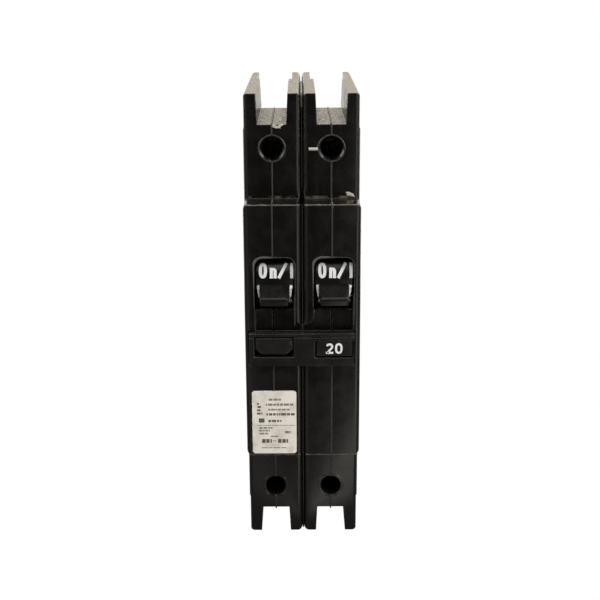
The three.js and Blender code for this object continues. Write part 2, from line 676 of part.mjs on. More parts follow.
/** Both handles and the shaft that joins them. */
function handles() {
  const { depth, height } = PIVOT;
  return [
    mesh("left_handle", handleBody(HANDLE_OFFSET - POLE_CENTRE), MATERIALS.handleBlack),
    mesh("right_handle", handleBody(HANDLE_OFFSET + POLE_CENTRE), MATERIALS.handleBlack),
    mesh(
      "handle_shaft",
      crossRod(SHAFT_RADIUS, -SHAFT_HALF_LENGTH, SHAFT_HALF_LENGTH, depth, height),
      MATERIALS.steel,
    ),
  ];
}

// Front strip

/** The strip across both poles: open for the button, recessed for the insert, grooved under its ledge. */
function testBezel() {
  const { left, right, low, high } = BUTTON_OPENING;
  const bar = solid(box(STRIP.left, STRIP.right, STRIP.front, STRIP.rear, STRIP.low, STRIP.high));
  const opening = box(left, right, STRIP.front - 1, STRIP.rear + 1, low, high);
  const window = INSERT_WINDOW;
  const recessRear = INSERT.rear + INSERT.behind;
  const recess = box(window.left, window.right, STRIP.front - 1, recessRear, window.low, window.high);
  const groove = box(-FAR, FAR, STRIP.front - 1, STRIP_GROOVE.rear, STRIP_GROOVE.low, STRIP_GROOVE.high);
  return bar.subtract(joined([opening, recess, groove]));
}

/** The test button: a cap with two chamfered lower corners, a stem, and a flange that keeps it in. */
function testButton() {
  const { centre, halfWidth, low, high, front, rear } = BUTTON;
  const { radius: post, length } = BUTTON_POST;
  const chamfer = BUTTON_CHAMFER;
  const cap = outline([
    [centre - halfWidth + chamfer, low],
    [centre + halfWidth - chamfer, low],
    [centre + halfWidth, low + chamfer],
    [centre + halfWidth, high],
    [centre - halfWidth, high],
    [centre - halfWidth, low + chamfer],
  ]);
  return joined([
    frontProfile(cap, front, rear),
    centred(centre, STEM.halfWidth, rear - 0.5, STEM.rear + 0.5, STEM.low, STEM.high),
    centred(centre, FLANGE.halfWidth, STEM.rear, FLANGE.rear, FLANGE.low, FLANGE.high),
    depthRod(post, post, centre, FLANGE.rear - 0.5, FLANGE.rear + length, STEM_HEIGHT, 12),
  ]);
}

/** The coil spring behind the button: a helix about the button's post. */
function buttonSpring() {
  const { turns, radius, wire, gap, rear } = BUTTON_SPRING;
  const stepsPerTurn = 8;
  const steps = turns * stepsPerTurn;
  const start = FLANGE.rear + gap;
  const points = Array.from({ length: steps + 1 }, (_, index) => {
    const angle = (index / stepsPerTurn) * Math.PI * 2;
    const depth = start + ((rear - start) * index) / steps;
    return [BUTTON.centre + radius * Math.cos(angle), depth, STEM_HEIGHT + radius * Math.sin(angle)];
  });
  return tube(points, wire, turns * 10, 6);
}

/** Strip, button, spring, switch, rating insert and front label. */
function frontPieces() {
  const insert = box(INSERT.left, INSERT.right, INSERT.front, INSERT.rear, INSERT.low, INSERT.high);
  const { halfWidth, front, rear, low, high } = TEST_SWITCH;
  const testSwitch = centred(BUTTON.centre, halfWidth, front, rear, low, high);
  const label = roundedRectangle(LABEL.left, LABEL.right, LABEL.low, LABEL.high, LABEL.corner);
  return [
    mesh("test_bezel", testBezel(), MATERIALS.stripBlack),
    mesh("test_button", testButton(), MATERIALS.stripBlack),
    mesh("test_button_spring", buttonSpring(), MATERIALS.steel),
    mesh("test_switch", testSwitch, MATERIALS.fibre),
    mesh("rating_insert", insert, MATERIALS.stripBlack),
    mesh("front_label", frontProfile(label, LABEL.front, LABEL.rear), MATERIALS.labelCream),
  ];
}

// Trip bar and ground-fault module

/** The bar across both poles that unlatches them together. */
function tripBar() {
  const { depth, height } = TRIP_PIVOT;
  const { halfWidth, rear, thickness } = TRIP_ARM;
  const low = height - thickness;
  const arms = [-POLE_CENTRE, POLE_CENTRE].map((x) => centred(x, halfWidth, depth, rear, low, height));
  return joined([
    crossRod(TRIP_RADIUS, -SHAFT_HALF_LENGTH, SHAFT_HALF_LENGTH, depth, height, 16),
    ...arms,
  ]);
}

/** The board with its larger components. */
function circuitBoard() {
  const { left, right } = BOARD;
  const { radius, reach, depth, height } = CAPACITOR;
  const foot = right - 0.1;
  const chips = BOARD_PARTS.map((part) =>
    box(foot, right + part.height, part.front, part.rear, part.low, part.high),
  );
  return joined([
    box(left, right, BOARD.front, BOARD.rear, BOARD.low, BOARD.high),
    ...chips,
    crossRod(radius, foot, right + reach, depth, height, 16),
  ]);
}

/** The transformer's ring, turned about z. */
function transformerRing() {
  const { depth, low, high, outer, inner, round } = RING;
  const profile = [
    [inner, low + round],
    [inner + round, low],
    [outer - round, low],
    [outer, low + round],
    [outer, high - round],
    [outer - round, high],
    [inner + round, high],
    [inner, high - round],
    [inner, low + round],
  ];
  const ring = new THREE.LatheGeometry(profile.map(([r, z]) => new THREE.Vector2(r, z)), 32);
  return solid(ring.rotateX(Math.PI / 2).translate(0, depth, 0));
}

/** The solenoid with a blind bore for its plunger. */
function solenoid() {
  const { depth, low, high, radius, bore } = SOLENOID;
  const coil = solid(upright(radius, POLE_CENTRE, depth, low, high));
  return coil.subtract(solid(upright(bore, POLE_CENTRE, depth, low + PLUNGER.floor, high + 1, 16)));
}

/** The plunger with the head that lifts the trip bar. */
function plunger() {
  const { depth, low } = SOLENOID;
  const { radius, floor, headRadius, headLow, headHigh } = PLUNGER;
  return joined([
    upright(radius, POLE_CENTRE, depth, low + floor + 0.4, headLow + 0.7, 16),
    upright(headRadius, POLE_CENTRE, depth, headLow, headHigh, 16),
  ]);
}

/** The pieces that watch for a ground fault and trip both poles. */
function faultModule() {
  return [
    mesh("trip_bar", tripBar(), MATERIALS.fibre),
    mesh("circuit_board", circuitBoard(), MATERIALS.board),
    mesh("current_transformer", transformerRing(), MATERIALS.winding),
    mesh("solenoid", solenoid(), MATERIALS.winding),
    mesh("plunger", plunger(), MATERIALS.steel),
  ];
}

/** A sliding latch with a T section and a lip behind the rail. */
function railLatch(side, name) {
  const x = side * POLE_CENTRE;
  const body = joined([
    centred(x, LATCH.wide, LATCH.front, LATCH.step, LATCH.low, LATCH_SHOULDER),
    centred(x, LATCH.narrow, LATCH.step - 0.2, LATCH.rear, LATCH.low, LATCH_SHOULDER),
    centred(x, LATCH.narrow, LATCH.step + 0.2, LATCH.rear, LATCH_SHOULDER - 1, LATCH.high),
  ]);
  const { halfWidth, low, high } = LATCH_SLOT;
  const slot = centred(x, halfWidth, LATCH.front - 1, LATCH.rear + 1, low, high);
  return mesh(`${name}_rail_latch`, body.subtract(solid(slot)), MATERIALS.stripBlack);
}

const assembly = new THREE.Group();
assembly.position.y = -MID_DEPTH;
for (const [side, name] of [
  [-1, "left"],
  [1, "right"],
]) {
  const pole = new THREE.Group();
  pole.add(...poleShells(side, name), ...poleTerminals(side, name));
  pole.add(...poleWorks(side, name), railLatch(side, name));
  assembly.add(pole);
}
const common = new THREE.Group();
common.add(...handles(), ...frontPieces(), ...faultModule());
common.add(...RIVETS.map(([depth, height], index) => rivet(index, depth, height)));
assembly.add(common);

const breaker = new THREE.Group();
breaker.add(assembly);

export default breaker;
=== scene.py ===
"""Two-pole ground-fault breaker: moulded case, handles, test strip, label, terminals, stage and camera.

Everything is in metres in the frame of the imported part. x runs across the poles, -y is the front with the
handles, and z runs up from the load end to the line end.
"""

import logging
import math
from dataclasses import dataclass, field
from enum import Enum

import bmesh
import bpy
import numpy as np
from mathutils import Matrix, Vector


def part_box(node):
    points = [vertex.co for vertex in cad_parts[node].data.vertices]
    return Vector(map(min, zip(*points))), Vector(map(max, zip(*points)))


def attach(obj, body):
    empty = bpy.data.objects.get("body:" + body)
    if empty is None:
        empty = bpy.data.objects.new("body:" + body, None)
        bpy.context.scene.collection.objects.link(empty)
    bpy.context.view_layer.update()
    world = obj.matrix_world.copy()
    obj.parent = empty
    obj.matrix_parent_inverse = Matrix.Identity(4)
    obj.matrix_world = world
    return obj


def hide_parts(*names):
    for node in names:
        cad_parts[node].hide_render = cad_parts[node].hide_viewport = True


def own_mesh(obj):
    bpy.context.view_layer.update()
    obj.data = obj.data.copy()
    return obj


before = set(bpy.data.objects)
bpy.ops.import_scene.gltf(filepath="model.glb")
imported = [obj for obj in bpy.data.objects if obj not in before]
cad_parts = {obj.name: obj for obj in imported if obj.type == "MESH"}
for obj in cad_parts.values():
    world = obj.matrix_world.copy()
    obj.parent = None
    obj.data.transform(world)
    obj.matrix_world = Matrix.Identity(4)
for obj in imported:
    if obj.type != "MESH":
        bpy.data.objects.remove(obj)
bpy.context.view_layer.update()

Socket = bpy.types.NodeSocket
Triple = tuple[float, float, float]
Ribbon = tuple[np.ndarray, bool]

LOG = logging.getLogger("breaker")
MM = 0.001
POLES = {"left": -1, "right": 1}
CASE = "case"
POLE_CENTRE = 9.675 * MM
HANDLE_OFFSET = 0.6 * MM
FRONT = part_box("left_outer_shell")[0].y
PIVOT_Z = 95.2 * MM
PIVOT_Y = FRONT + 10.3 * MM
SHOULDER = FRONT + 10.6 * MM


def handle_x(name: str) -> float:
    """The middle of a pole's handle, a little to the right of its parting line."""
    return POLES[name] * POLE_CENTRE + HANDLE_OFFSET


class Slot(str, Enum):
    """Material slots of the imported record."""

    CASE = "case_black"
    STRIP = "strip_black"
    BUTTON = "button_black"
    INSERT = "insert_black"
    HANDLE = "handle_black"
    LATCH = "latch_black"
    LABEL = "label_cream"
    LUG = "lug_aluminium"
    ZINC = "zinc_steel"
    STEEL = "bare_steel"
    COPPER = "copper"
    SILVER = "contact_silver"
    FIBRE = "fibre"
    BOARD = "board_green"
    WINDING = "winding"
    JACKET = "wire_jacket"


# Node sketches and finishes


class NodeSketch:
    """A material's node tree with short calls for adding and linking nodes."""

    def __init__(self, name: str) -> None:
        """Starts a material of this name with nothing but its output."""
        self.material = bpy.data.materials.new(name)
        self.material.use_nodes = True
        self.tree = self.material.node_tree
        self.tree.nodes.clear()
        self.output = self.add("OutputMaterial")

    def add(self, kind: str) -> bpy.types.Node:
        """Adds a node, given what follows ShaderNode in its type."""
        return self.tree.nodes.new(f"ShaderNode{kind}")

    def link(self, source: Socket, target: Socket) -> None:
        """Joins an output to an input."""
        self.tree.links.new(source, target)

    def ranged(self, value: Socket, low: float, high: float, to_low: float, to_high: float) -> Socket:
        """The value mapped from low..high to to_low..to_high, and held there."""
        node = self.add("MapRange")
        for name, number in zip(("From Min", "From Max", "To Min", "To Max"), (low, high, to_low, to_high)):
            node.inputs[name].default_value = number
        self.link(value, node.inputs["Value"])
        return node.outputs["Result"]

    def stepped(self, value: Socket, low: float, high: float, to_low: float, to_high: float) -> Socket:
        """The same mapping along a smooth step."""
        result = self.ranged(value, low, high, to_low, to_high)
        result.node.interpolation_type = "SMOOTHSTEP"
        return result

    def maths(self, kind: str, first: Socket, second: Socket | float) -> Socket:
        """One arithmetic step on two values."""
        node = self.add("Math")
        node.operation = kind
        self.link(first, node.inputs[0])
        if isinstance(second, (int, float)):
            node.inputs[1].default_value = second
        else:
            self.link(second, node.inputs[1])
        return node.outputs["Value"]

    def times(self, first: Socket, *others: Socket | float) -> Socket:
        """The product of all the values."""
        for other in others:
            first = self.maths("MULTIPLY", first, other)
        return first

    def away(self, value: Socket, middle: float) -> Socket:
        """How far the value is from the middle, on either side."""
        return self.maths("ABSOLUTE", self.maths("SUBTRACT", value, middle), 0.0)

    def near(self, value: Socket, middle: float, reach: float) -> Socket:
        """1 where the value is at the middle, falling to 0 at the reach on both sides."""
        return self.ranged(self.away(value, middle), 0, reach, 1, 0)

    def split(self, vector: Socket, axis: str) -> Socket:
        """A vector's X, Y or Z."""
        node = self.add("SeparateXYZ")
        self.link(vector, node.inputs["Vector"])
        return node.outputs[axis]

    def blend(self, factor: Socket, low: Triple | Socket, high: Triple | Socket) -> Socket:
        """A colour between two colours, each given as numbers or as a socket."""
        node = self.add("Mix")
        node.data_type = "RGBA"
        self.link(factor, node.inputs["Factor"])
        for name, colour in (("A", low), ("B", high)):
            socket = [s for s in node.inputs if s.name == name and s.type == "RGBA"][0]
            if isinstance(colour, tuple):
                socket.default_value = (*colour, 1)
            else:
                self.link(colour, socket)
        return [s for s in node.outputs if s.type == "RGBA"][0]


class FinishSketch(NodeSketch):
    """A sketch with a Principled shader and the object's own coordinates."""

    def __init__(self, name: str) -> None:
        """Starts a material of this name with the shader as its surface."""
        super().__init__(name)
        self.shader = self.add("BsdfPrincipled")
        self.link(self.shader.outputs["BSDF"], self.output.inputs["Surface"])
        self.place = self.add("TexCoord")

    def noise(self, size: float, detail: float = 3.0, stretch: Triple = (1, 1, 1)) -> Socket:
        """Noise on object coordinates.

        Args:
            size: width of one blotch in metres.
            detail: how many finer layers it has.
            stretch: scale of the pattern along each axis.

        Returns:
            The noise value, from 0 to 1.
        """
        node = self.add("TexNoise")
        node.inputs["Scale"].default_value = 1 / size
        node.inputs["Detail"].default_value = detail
        place = self.place.outputs["Object"]
        if stretch != (1, 1, 1):
            mapping = self.add("Mapping")
            mapping.inputs["Scale"].default_value = stretch
            self.link(place, mapping.inputs["Vector"])
            place = mapping.outputs["Vector"]
        self.link(place, node.inputs["Vector"])
        return node.outputs["Fac"]

    def facing_up(self, start: float, full: float) -> Socket:
        """How much the surface faces up: 0 below start, 1 above full, by the normal's z."""
        return self.ranged(self.split(self.place.outputs["Normal"], "Z"), start, full, 0, 1)

    def along(self, axis: str) -> Socket:
        """The object coordinate along one axis, X, Y or Z."""
        return self.split(self.place.outputs["Object"], axis)

    def drive(self, name: str, source: Socket) -> None:
        """Feeds one of the shader's sockets."""
        self.link(source, self.shader.inputs[name])

    def bump(self, height: Socket, strength: float, distance: float) -> None:
        """Bumps the surface by a height value."""
        node = self.add("Bump")
        node.inputs["Strength"].default_value = strength
        node.inputs["Distance"].default_value = distance
        self.link(height, node.inputs["Height"])
        self.drive("Normal", node.outputs["Normal"])

    def set(self, **values: float | tuple) -> None:
        """Sets the shader's own sockets, with underscores for spaces."""
        for name, value in values.items():
            self.shader.inputs[name.replace("_", " ")].default_value = value


@dataclass(frozen=True)
class MouldedPlastic:
    """Black phenolic moulding with fine grain, worn patches, and dust where it faces up."""

    base: Triple
    worn: Triple = (0.016, 0.014, 0.011)
    dust: Triple = (0.27, 0.225, 0.16)
    rough_low: float = 0.20
    rough_high: float = 0.32
    dustiness: float = 1.0
    specular: float = 0.5
    grain: float = 0.22 * MM

    def colour(self, sketch: FinishSketch) -> Socket:
        """The plastic's own colour with scuffs: blotches times fine upright streaks."""
        patches = sketch.ranged(sketch.noise(9 * MM, 5), 0.48, 0.72, 0, 1)
        streaks = sketch.ranged(sketch.noise(2.2 * MM, 4, (1, 1, 0.25)), 0.5, 0.75, 0, 0.8)
        return sketch.blend(sketch.times(patches, streaks), self.base, self.worn)

    def settled(self, sketch: FinishSketch) -> Socket:
        """How much dust lies on the surface: speckled, and only where it faces up."""
        speckle = sketch.ranged(sketch.noise(1.1 * MM, 6), 0.38, 0.58, 0.05, 1)
        return sketch.times(sketch.facing_up(0.75, 0.97), speckle, self.dustiness)

    def build(self, name: str) -> bpy.types.Material:
        """The finish as a material of this name."""
        sketch = FinishSketch(name)
        settled = self.settled(sketch)
        sketch.drive("Base Color", sketch.blend(settled, self.colour(sketch), self.dust))
        cloudy = sketch.ranged(sketch.noise(5 * MM, 4), 0.3, 0.7, self.rough_low, self.rough_high)
        sketch.drive("Roughness", sketch.maths("MAXIMUM", cloudy, sketch.ranged(settled, 0, 1, 0, 0.8)))
        ripple = sketch.times(sketch.noise(3.5 * MM, 2), 4.0)
        sketch.bump(sketch.maths("ADD", sketch.noise(self.grain, 2), ripple), 0.3, 0.012 * MM)
        sketch.set(Specular_IOR_Level=self.specular)
        return sketch.material


@dataclass(frozen=True)
class CasePlastic(MouldedPlastic):
    """The case's moulding: the line end is dusty, and dirt lies in the corner behind the raised front."""

    dirt: Triple = (0.11, 0.075, 0.045)
    dusty_from: float = 139 * MM
    corner_height: float = 121.35 * MM
    stain_height: float = 31.5 * MM

    def settled(self, sketch: FinishSketch) -> Socket:
        """Thick dust on the line end's top faces, thin dust below, and a broken line in the step's corner."""
        thick = sketch.ranged(sketch.along("Z"), self.dusty_from - 2 * MM, self.dusty_from, 0.03, 1)
        flat = sketch.times(super().settled(sketch), thick)
        edge = sketch.near(sketch.along("Z"), self.corner_height, 0.55 * MM)
        shoulder = sketch.near(sketch.along("Y"), SHOULDER, 0.6 * MM)
        broken = sketch.ranged(sketch.noise(3.2 * MM, 4), 0.50, 0.62, 0, 0.55)
        return sketch.maths("MAXIMUM", flat, sketch.times(edge, shoulder, broken))

    def colour(self, sketch: FinishSketch) -> Socket:
        """The scuffed plastic with a faint brown stain low between the poles."""
        plain = super().colour(sketch)
        low = sketch.near(sketch.along("Z"), self.stain_height, 4 * MM)
        middle = sketch.near(sketch.along("X"), -1 * MM, 7 * MM)
        broken = sketch.ranged(sketch.noise(1.6 * MM, 5), 0.45, 0.62, 0, 0.9)
        front = sketch.near(sketch.along("Y"), SHOULDER, 3 * MM)
        return sketch.blend(sketch.times(low, middle, front, broken), plain, self.dirt)


@dataclass(frozen=True)
class HandlePlastic(MouldedPlastic):
    """The handles' moulding, with a painted highlight in pale colour on the flares at both sides of the
    lever.
    """

    # pale colour that paints the highlight on the lever's flares
    flare_highlight: Triple = (0.80, 0.78, 0.72)
    flare_from: float = 4.8 * MM

    def colour(self, sketch: FinishSketch) -> Socket:
        """The scuffed plastic, with a painted highlight: paler away from the handle's middle and in front of
        the drum.
        """
        plain = super().colour(sketch)
        aside = sketch.away(sketch.away(sketch.along("X"), HANDLE_OFFSET), POLE_CENTRE)
        flare = sketch.ranged(aside, self.flare_from, self.flare_from + 0.35 * MM, 0, 1)
        ahead = sketch.ranged(sketch.along("Y"), FRONT + 0.6 * MM, FRONT + 0.2 * MM, 0, 1)
        below = sketch.ranged(sketch.along("Z"), PIVOT_Z + 1.0 * MM, PIVOT_Z - 0.2 * MM, 0, 1)
        # the painted highlight's strength, broken up by noise
        flare_highlight = sketch.ranged(sketch.noise(1.4 * MM, 4), 0.35, 0.6, 0.45, 1)
        return sketch.blend(sketch.times(flare, ahead, flare_highlight, below), plain, self.flare_highlight)


@dataclass(frozen=True)
class BareMetal:
    """Plated or bare metal with fine drawn lines and a little tarnish."""

    colour: Triple
    tarnish: Triple
    roughness: float = 0.34
    lines: Triple = (1, 1, 8)

    def build(self, name: str) -> bpy.types.Material:
        """The finish as a material of this name."""
        sketch = FinishSketch(name)
        stain = sketch.ranged(sketch.noise(2.5 * MM, 5), 0.42, 0.7, 0, 1)
        sketch.drive("Base Color", sketch.blend(stain, self.colour, self.tarnish))
        sketch.drive("Roughness", sketch.ranged(stain, 0, 1, self.roughness, self.roughness + 0.22))
        sketch.bump(sketch.noise(0.5 * MM, 3, self.lines), 0.3, 0.01 * MM)
        sketch.set(Metallic=1.0)
        return sketch.material


@dataclass(frozen=True)
class PrintedPaper:
    """Cream label stock, a little yellowed and rubbed, under a thin clear film."""

    base: Triple = (0.96, 0.92, 0.83)
    aged: Triple = (0.60, 0.55, 0.44)
    speck: Triple = (0.25, 0.22, 0.18)

    def build(self, name: str) -> bpy.types.Material:
        """The finish as a material of this name."""
        sketch = FinishSketch(name)
        age = sketch.ranged(sketch.noise(3.5 * MM, 5), 0.42, 0.75, 0, 0.75)
        specks = sketch.ranged(sketch.noise(0.45 * MM, 3), 0.68, 0.76, 0, 0.25)
        paper = sketch.blend(age, self.base, self.aged)
        sketch.drive("Base Color", sketch.blend(specks, paper, self.speck))
        sketch.drive("Roughness", sketch.ranged(age, 0, 1, 0.42, 0.6))
        sketch.bump(sketch.noise(0.12 * MM, 3), 0.15, 0.01 * MM)
        return sketch.material


@dataclass(frozen=True)
class Ink:
    """Printed or pad-printed ink with slightly uneven cover."""

    colour: Triple
    thin: Triple
    roughness: float = 0.5

    def build(self, name: str) -> bpy.types.Material:
        """The finish as a material of this name."""
        sketch = FinishSketch(name)
        cover = sketch.ranged(sketch.noise(0.35 * MM, 4), 0.5, 0.75, 0, 1)
        sketch.drive("Base Color", sketch.blend(cover, self.colour, self.thin))
        sketch.drive("Roughness", sketch.ranged(cover, 0, 1, self.roughness, self.roughness + 0.15))
        sketch.bump(sketch.noise(0.15 * MM, 2), 0.2, 0.01 * MM)
        return sketch.material


@dataclass(frozen=True)
class FibreSheet:
    """Pressed fibre, board or winding, with a fine directional weave."""

    base: Triple
    thread: Triple
    pitch: float = 0.5 * MM
    roughness: float = 0.7

    def build(self, name: str) -> bpy.types.Material:
        """The finish as a material of this name."""
        sketch = FinishSketch(name)
        weave = sketch.noise(self.pitch, 3, (6, 1, 1))
        blotch = sketch.noise(4 * MM, 3)
        mixed = sketch.times(weave, sketch.ranged(blotch, 0.3, 0.7, 0.6, 1))
        sketch.drive("Base Color", sketch.blend(mixed, self.base, self.thread))
        sketch.drive("Roughness", sketch.ranged(weave, 0, 1, self.roughness - 0.1, self.roughness + 0.1))
        sketch.bump(weave, 0.4, 0.03 * MM)
        return sketch.material


Finish = MouldedPlastic | BareMetal | PrintedPaper | Ink | FibreSheet
FINISHES = {
    Slot.CASE: CasePlastic((0.0040, 0.0030, 0.0024)),
    Slot.STRIP: MouldedPlastic((0.0085, 0.0080, 0.0075), dustiness=0.04),
    Slot.BUTTON: MouldedPlastic((0.0095, 0.0092, 0.0086), dustiness=0.04),
    Slot.INSERT: MouldedPlastic((0.0100, 0.0095, 0.0090), dustiness=0.02),
    Slot.HANDLE: HandlePlastic(
        (0.0050, 0.0048, 0.0045), dustiness=0.02, rough_low=0.24, rough_high=0.36, specular=0.3
    ),
    Slot.LATCH: MouldedPlastic((0.010, 0.010, 0.0095), dustiness=0.1),
    Slot.LABEL: PrintedPaper(),
    Slot.LUG: BareMetal((0.66, 0.66, 0.65), (0.42, 0.41, 0.38), 0.4),
    Slot.ZINC: BareMetal((0.58, 0.56, 0.50), (0.36, 0.33, 0.26), 0.36),
    Slot.STEEL: BareMetal((0.52, 0.52, 0.52), (0.34, 0.32, 0.30), 0.32),
    Slot.COPPER: BareMetal((0.75, 0.42, 0.28), (0.36, 0.18, 0.11), 0.34),
    Slot.SILVER: BareMetal((0.82, 0.82, 0.80), (0.50, 0.48, 0.44), 0.28),
    Slot.FIBRE: FibreSheet((0.26, 0.11, 0.06), (0.38, 0.19, 0.11)),
    Slot.BOARD: FibreSheet((0.02, 0.14, 0.05), (0.05, 0.24, 0.09), 0.4 * MM, 0.45),
    Slot.WINDING: FibreSheet((0.42, 0.17, 0.05), (0.62, 0.30, 0.12), 0.35 * MM, 0.45),
    Slot.JACKET: FibreSheet((0.025, 0.025, 0.025), (0.04, 0.04, 0.04), 1.5 * MM, 0.5),
}
WHITE_INK = Ink((0.96, 0.95, 0.93), (0.84, 0.83, 0.80))
BLACK_INK = Ink((0.09, 0.085, 0.075), (0.22, 0.20, 0.17), 0.6)
GREY_INK = Ink((0.22, 0.20, 0.165), (0.40, 0.365, 0.31), 0.6)
# paler than the case: the flash beads' paleness is a painted highlight along the parting lines, the trough
# edge and the upper hole rings
FLASH_HIGHLIGHT = MouldedPlastic((0.030, 0.028, 0.025), worn=(0.07, 0.066, 0.058), dustiness=0.9, rough_low=0.36)
# much paler still: a painted highlight on the window beads and on the raised face's edge beads
EDGE_FLASH_HIGHLIGHT = MouldedPlastic((0.085, 0.08, 0.07), worn=(0.2, 0.19, 0.17), dustiness=0.6, rough_low=0.36)
DUSTY = MouldedPlastic((0.16, 0.135, 0.10), worn=(0.30, 0.26, 0.20), rough_low=0.6, rough_high=0.8)
# pale finish for real chips, and for a painted glint on the rib beside the upper hole and on the flakes in
# the step's corner
CHIP_AND_GLINT = MouldedPlastic(
    (0.58, 0.54, 0.47), worn=(0.75, 0.71, 0.64), dustiness=0.5, rough_low=0.6, rough_high=0.8
)


# Surfaces


@dataclass
class Shell:
    """Vertices and faces of one closed surface."""

    points: np.ndarray
    faces: list[tuple[int, ...]]


def grid_faces(rows: int, columns: int) -> list[tuple[int, ...]]:
    """Quads of a grid whose columns close on themselves, row after row."""
    row, column = np.meshgrid(np.arange(rows - 1), np.arange(columns), indexing="ij")
    beside = (column + 1) % columns
    here, ahead = row * columns, (row + 1) * columns
    corners = [here + column, here + beside, ahead + beside, ahead + column]
    return [tuple(face) for face in np.stack(corners, axis=-1).reshape(-1, 4).tolist()]


def loft(sections: np.ndarray) -> Shell:
    """A closed shell through rings of points.

    Args:
        sections: array of rings x points x 3; each ring has the same number of points.

    Returns:
        The shell, with its first and last rings filled.
    """
    rows, columns = sections.shape[:2]
    faces = grid_faces(rows, columns)
    faces.append(tuple(range(columns))[::-1])
    faces.append(tuple(range((rows - 1) * columns, rows * columns)))
    return Shell(sections.reshape(-1, 3), faces)


def ring_shell(sections: np.ndarray) -> Shell:
    """A shell through rings that also closes from its last ring to its first, like a torus."""
    rows, columns = sections.shape[:2]
    closed = np.concatenate([sections, sections[:1]])
    faces = grid_faces(rows + 1, columns)
    total = rows * columns
    return Shell(closed.reshape(-1, 3)[:total], [tuple(i % total for i in face) for face in faces])


def rounded_section(
    half_width: np.ndarray, half_height: np.ndarray, corner: np.ndarray, steps: int = 6
) -> np.ndarray:
    """Rounded rectangles, one per row: four quarter circles of the corner radius about the inset corners.

    Args:
        half_width: half widths, one per row.
        half_height: half heights, one per row.
        corner: corner radii, one per row.
        steps: points on each quarter circle.

    Returns:
        Array of rows x points x 2.
    """
    quarter = np.linspace(0, math.pi / 2, steps)
    angles = np.concatenate([quarter + k * math.pi / 2 for k in range(4)])
    sign_x = np.repeat([1, -1, -1, 1], steps)
    sign_y = np.repeat([1, 1, -1, -1], steps)
    across = sign_x * (half_width - corner)[:, None] + corner[:, None] * np.cos(angles)
    along = sign_y * (half_height - corner)[:, None] + corner[:, None] * np.sin(angles)
    return np.stack([across, along], axis=-1)


def arc(centre: tuple[float, float], radius: float, start: float, end: float, steps: int) -> np.ndarray:
    """Points on a circular arc in a plane, from start to end in degrees."""
    angle = np.radians(np.linspace(start, end, steps))
    return np.stack([centre[0] + radius * np.cos(angle), centre[1] + radius * np.sin(angle)], axis=-1)


def full_turn(steps: int) -> np.ndarray:
    """Evenly spaced angles round a circle, each once."""
    return np.linspace(0, 2 * math.pi, steps + 1)[:-1]


def path_normals(path: np.ndarray, closed: bool = False) -> np.ndarray:
    """Left-hand normals of a plane path, from both neighbouring segments, lengthened at a corner."""
    if closed:
        before = path - np.roll(path, 1, axis=0)
        after = np.roll(path, -1, axis=0) - path
    else:
        step = np.diff(path, axis=0)
        before = np.concatenate([step[:1], step])
        after = np.concatenate([step, step[-1:]])
    before = before / np.linalg.norm(before, axis=1, keepdims=True)
    after = after / np.linalg.norm(after, axis=1, keepdims=True)
    mean = before + after
    mean /= np.linalg.norm(mean, axis=1, keepdims=True)
    stretch = 1 / np.maximum(np.sum(mean * before, axis=1, keepdims=True), 0.5)
    return np.stack([-mean[:, 1], mean[:, 0]], axis=-1) * stretch


def resampled(path: np.ndarray, step: float) -> np.ndarray:
    """The same path with a point at least every step, its own points kept."""
    length = np.concatenate([[0], np.cumsum(np.linalg.norm(np.diff(path, axis=0), axis=1))])
    even = np.linspace(0, length[-1], max(2, int(math.ceil(length[-1] / step)) + 1))
    stops = np.unique(np.round(np.concatenate([length, even]), 9))
    stops = stops[np.concatenate([[True], np.diff(stops) > step * 0.05])]
    return np.column_stack([np.interp(stops, length, path[:, axis]) for axis in range(path.shape[1])])


def swept_bead(path: np.ndarray, radius: np.ndarray | float, flatness: float = 1.0) -> np.ndarray:
    """Rings of an oval section along a plane path, flattened out of the plane.

    Args:
        path: points x 2.
        radius: the radius at each point, or one for all.
        flatness: how far the section stands out of the plane, as a share of the radius.

    Returns:
        Array of path points x 8 x 3 as (first, second, out of plane).
    """
    angle = full_turn(8)
    wide = np.broadcast_to(np.asarray(radius, dtype=float), (len(path),))
    plane = path[:, None, :] + path_normals(path)[:, None, :] * (wide[:, None] * np.cos(angle))[..., None]
    out = wide[:, None] * flatness * np.sin(angle)
    return np.concatenate([plane, out[..., None]], axis=-1)


def on_face(bead: np.ndarray, y: float) -> np.ndarray:
    """A bead's rings as x, y and z, with its path in the upright plane at y."""
    return np.stack([bead[..., 0], y + bead[..., 2], bead[..., 1]], axis=-1)


def stroke(path: np.ndarray, width: float, low: float, high: float, closed: bool = False) -> Ribbon:
    """A flat ribbon along a plane path: four points per path point, low and high at both sides.

    Args:
        path: points x 2.
        width: the ribbon's width.
        low: height of its underside.
        high: height of its top.
        closed: whether the path is a loop.

    Returns:
        Array of path points x 4 x 3 as (across, up, height), and whether it closes.
    """
    side = path_normals(path, closed) * width / 2
    left, right = path + side, path - side
    corners = ((left, low), (left, high), (right, high), (right, low))
    rows = [np.column_stack([edge, np.full(len(path), height)]) for edge, height in corners]
    return np.stack(rows, axis=1), closed


def placed(name: str, data: bpy.types.ID) -> bpy.types.Object:
    """A new object in the scene."""
    made = bpy.data.objects.new(name, data)
    bpy.context.scene.collection.objects.link(made)
    return made


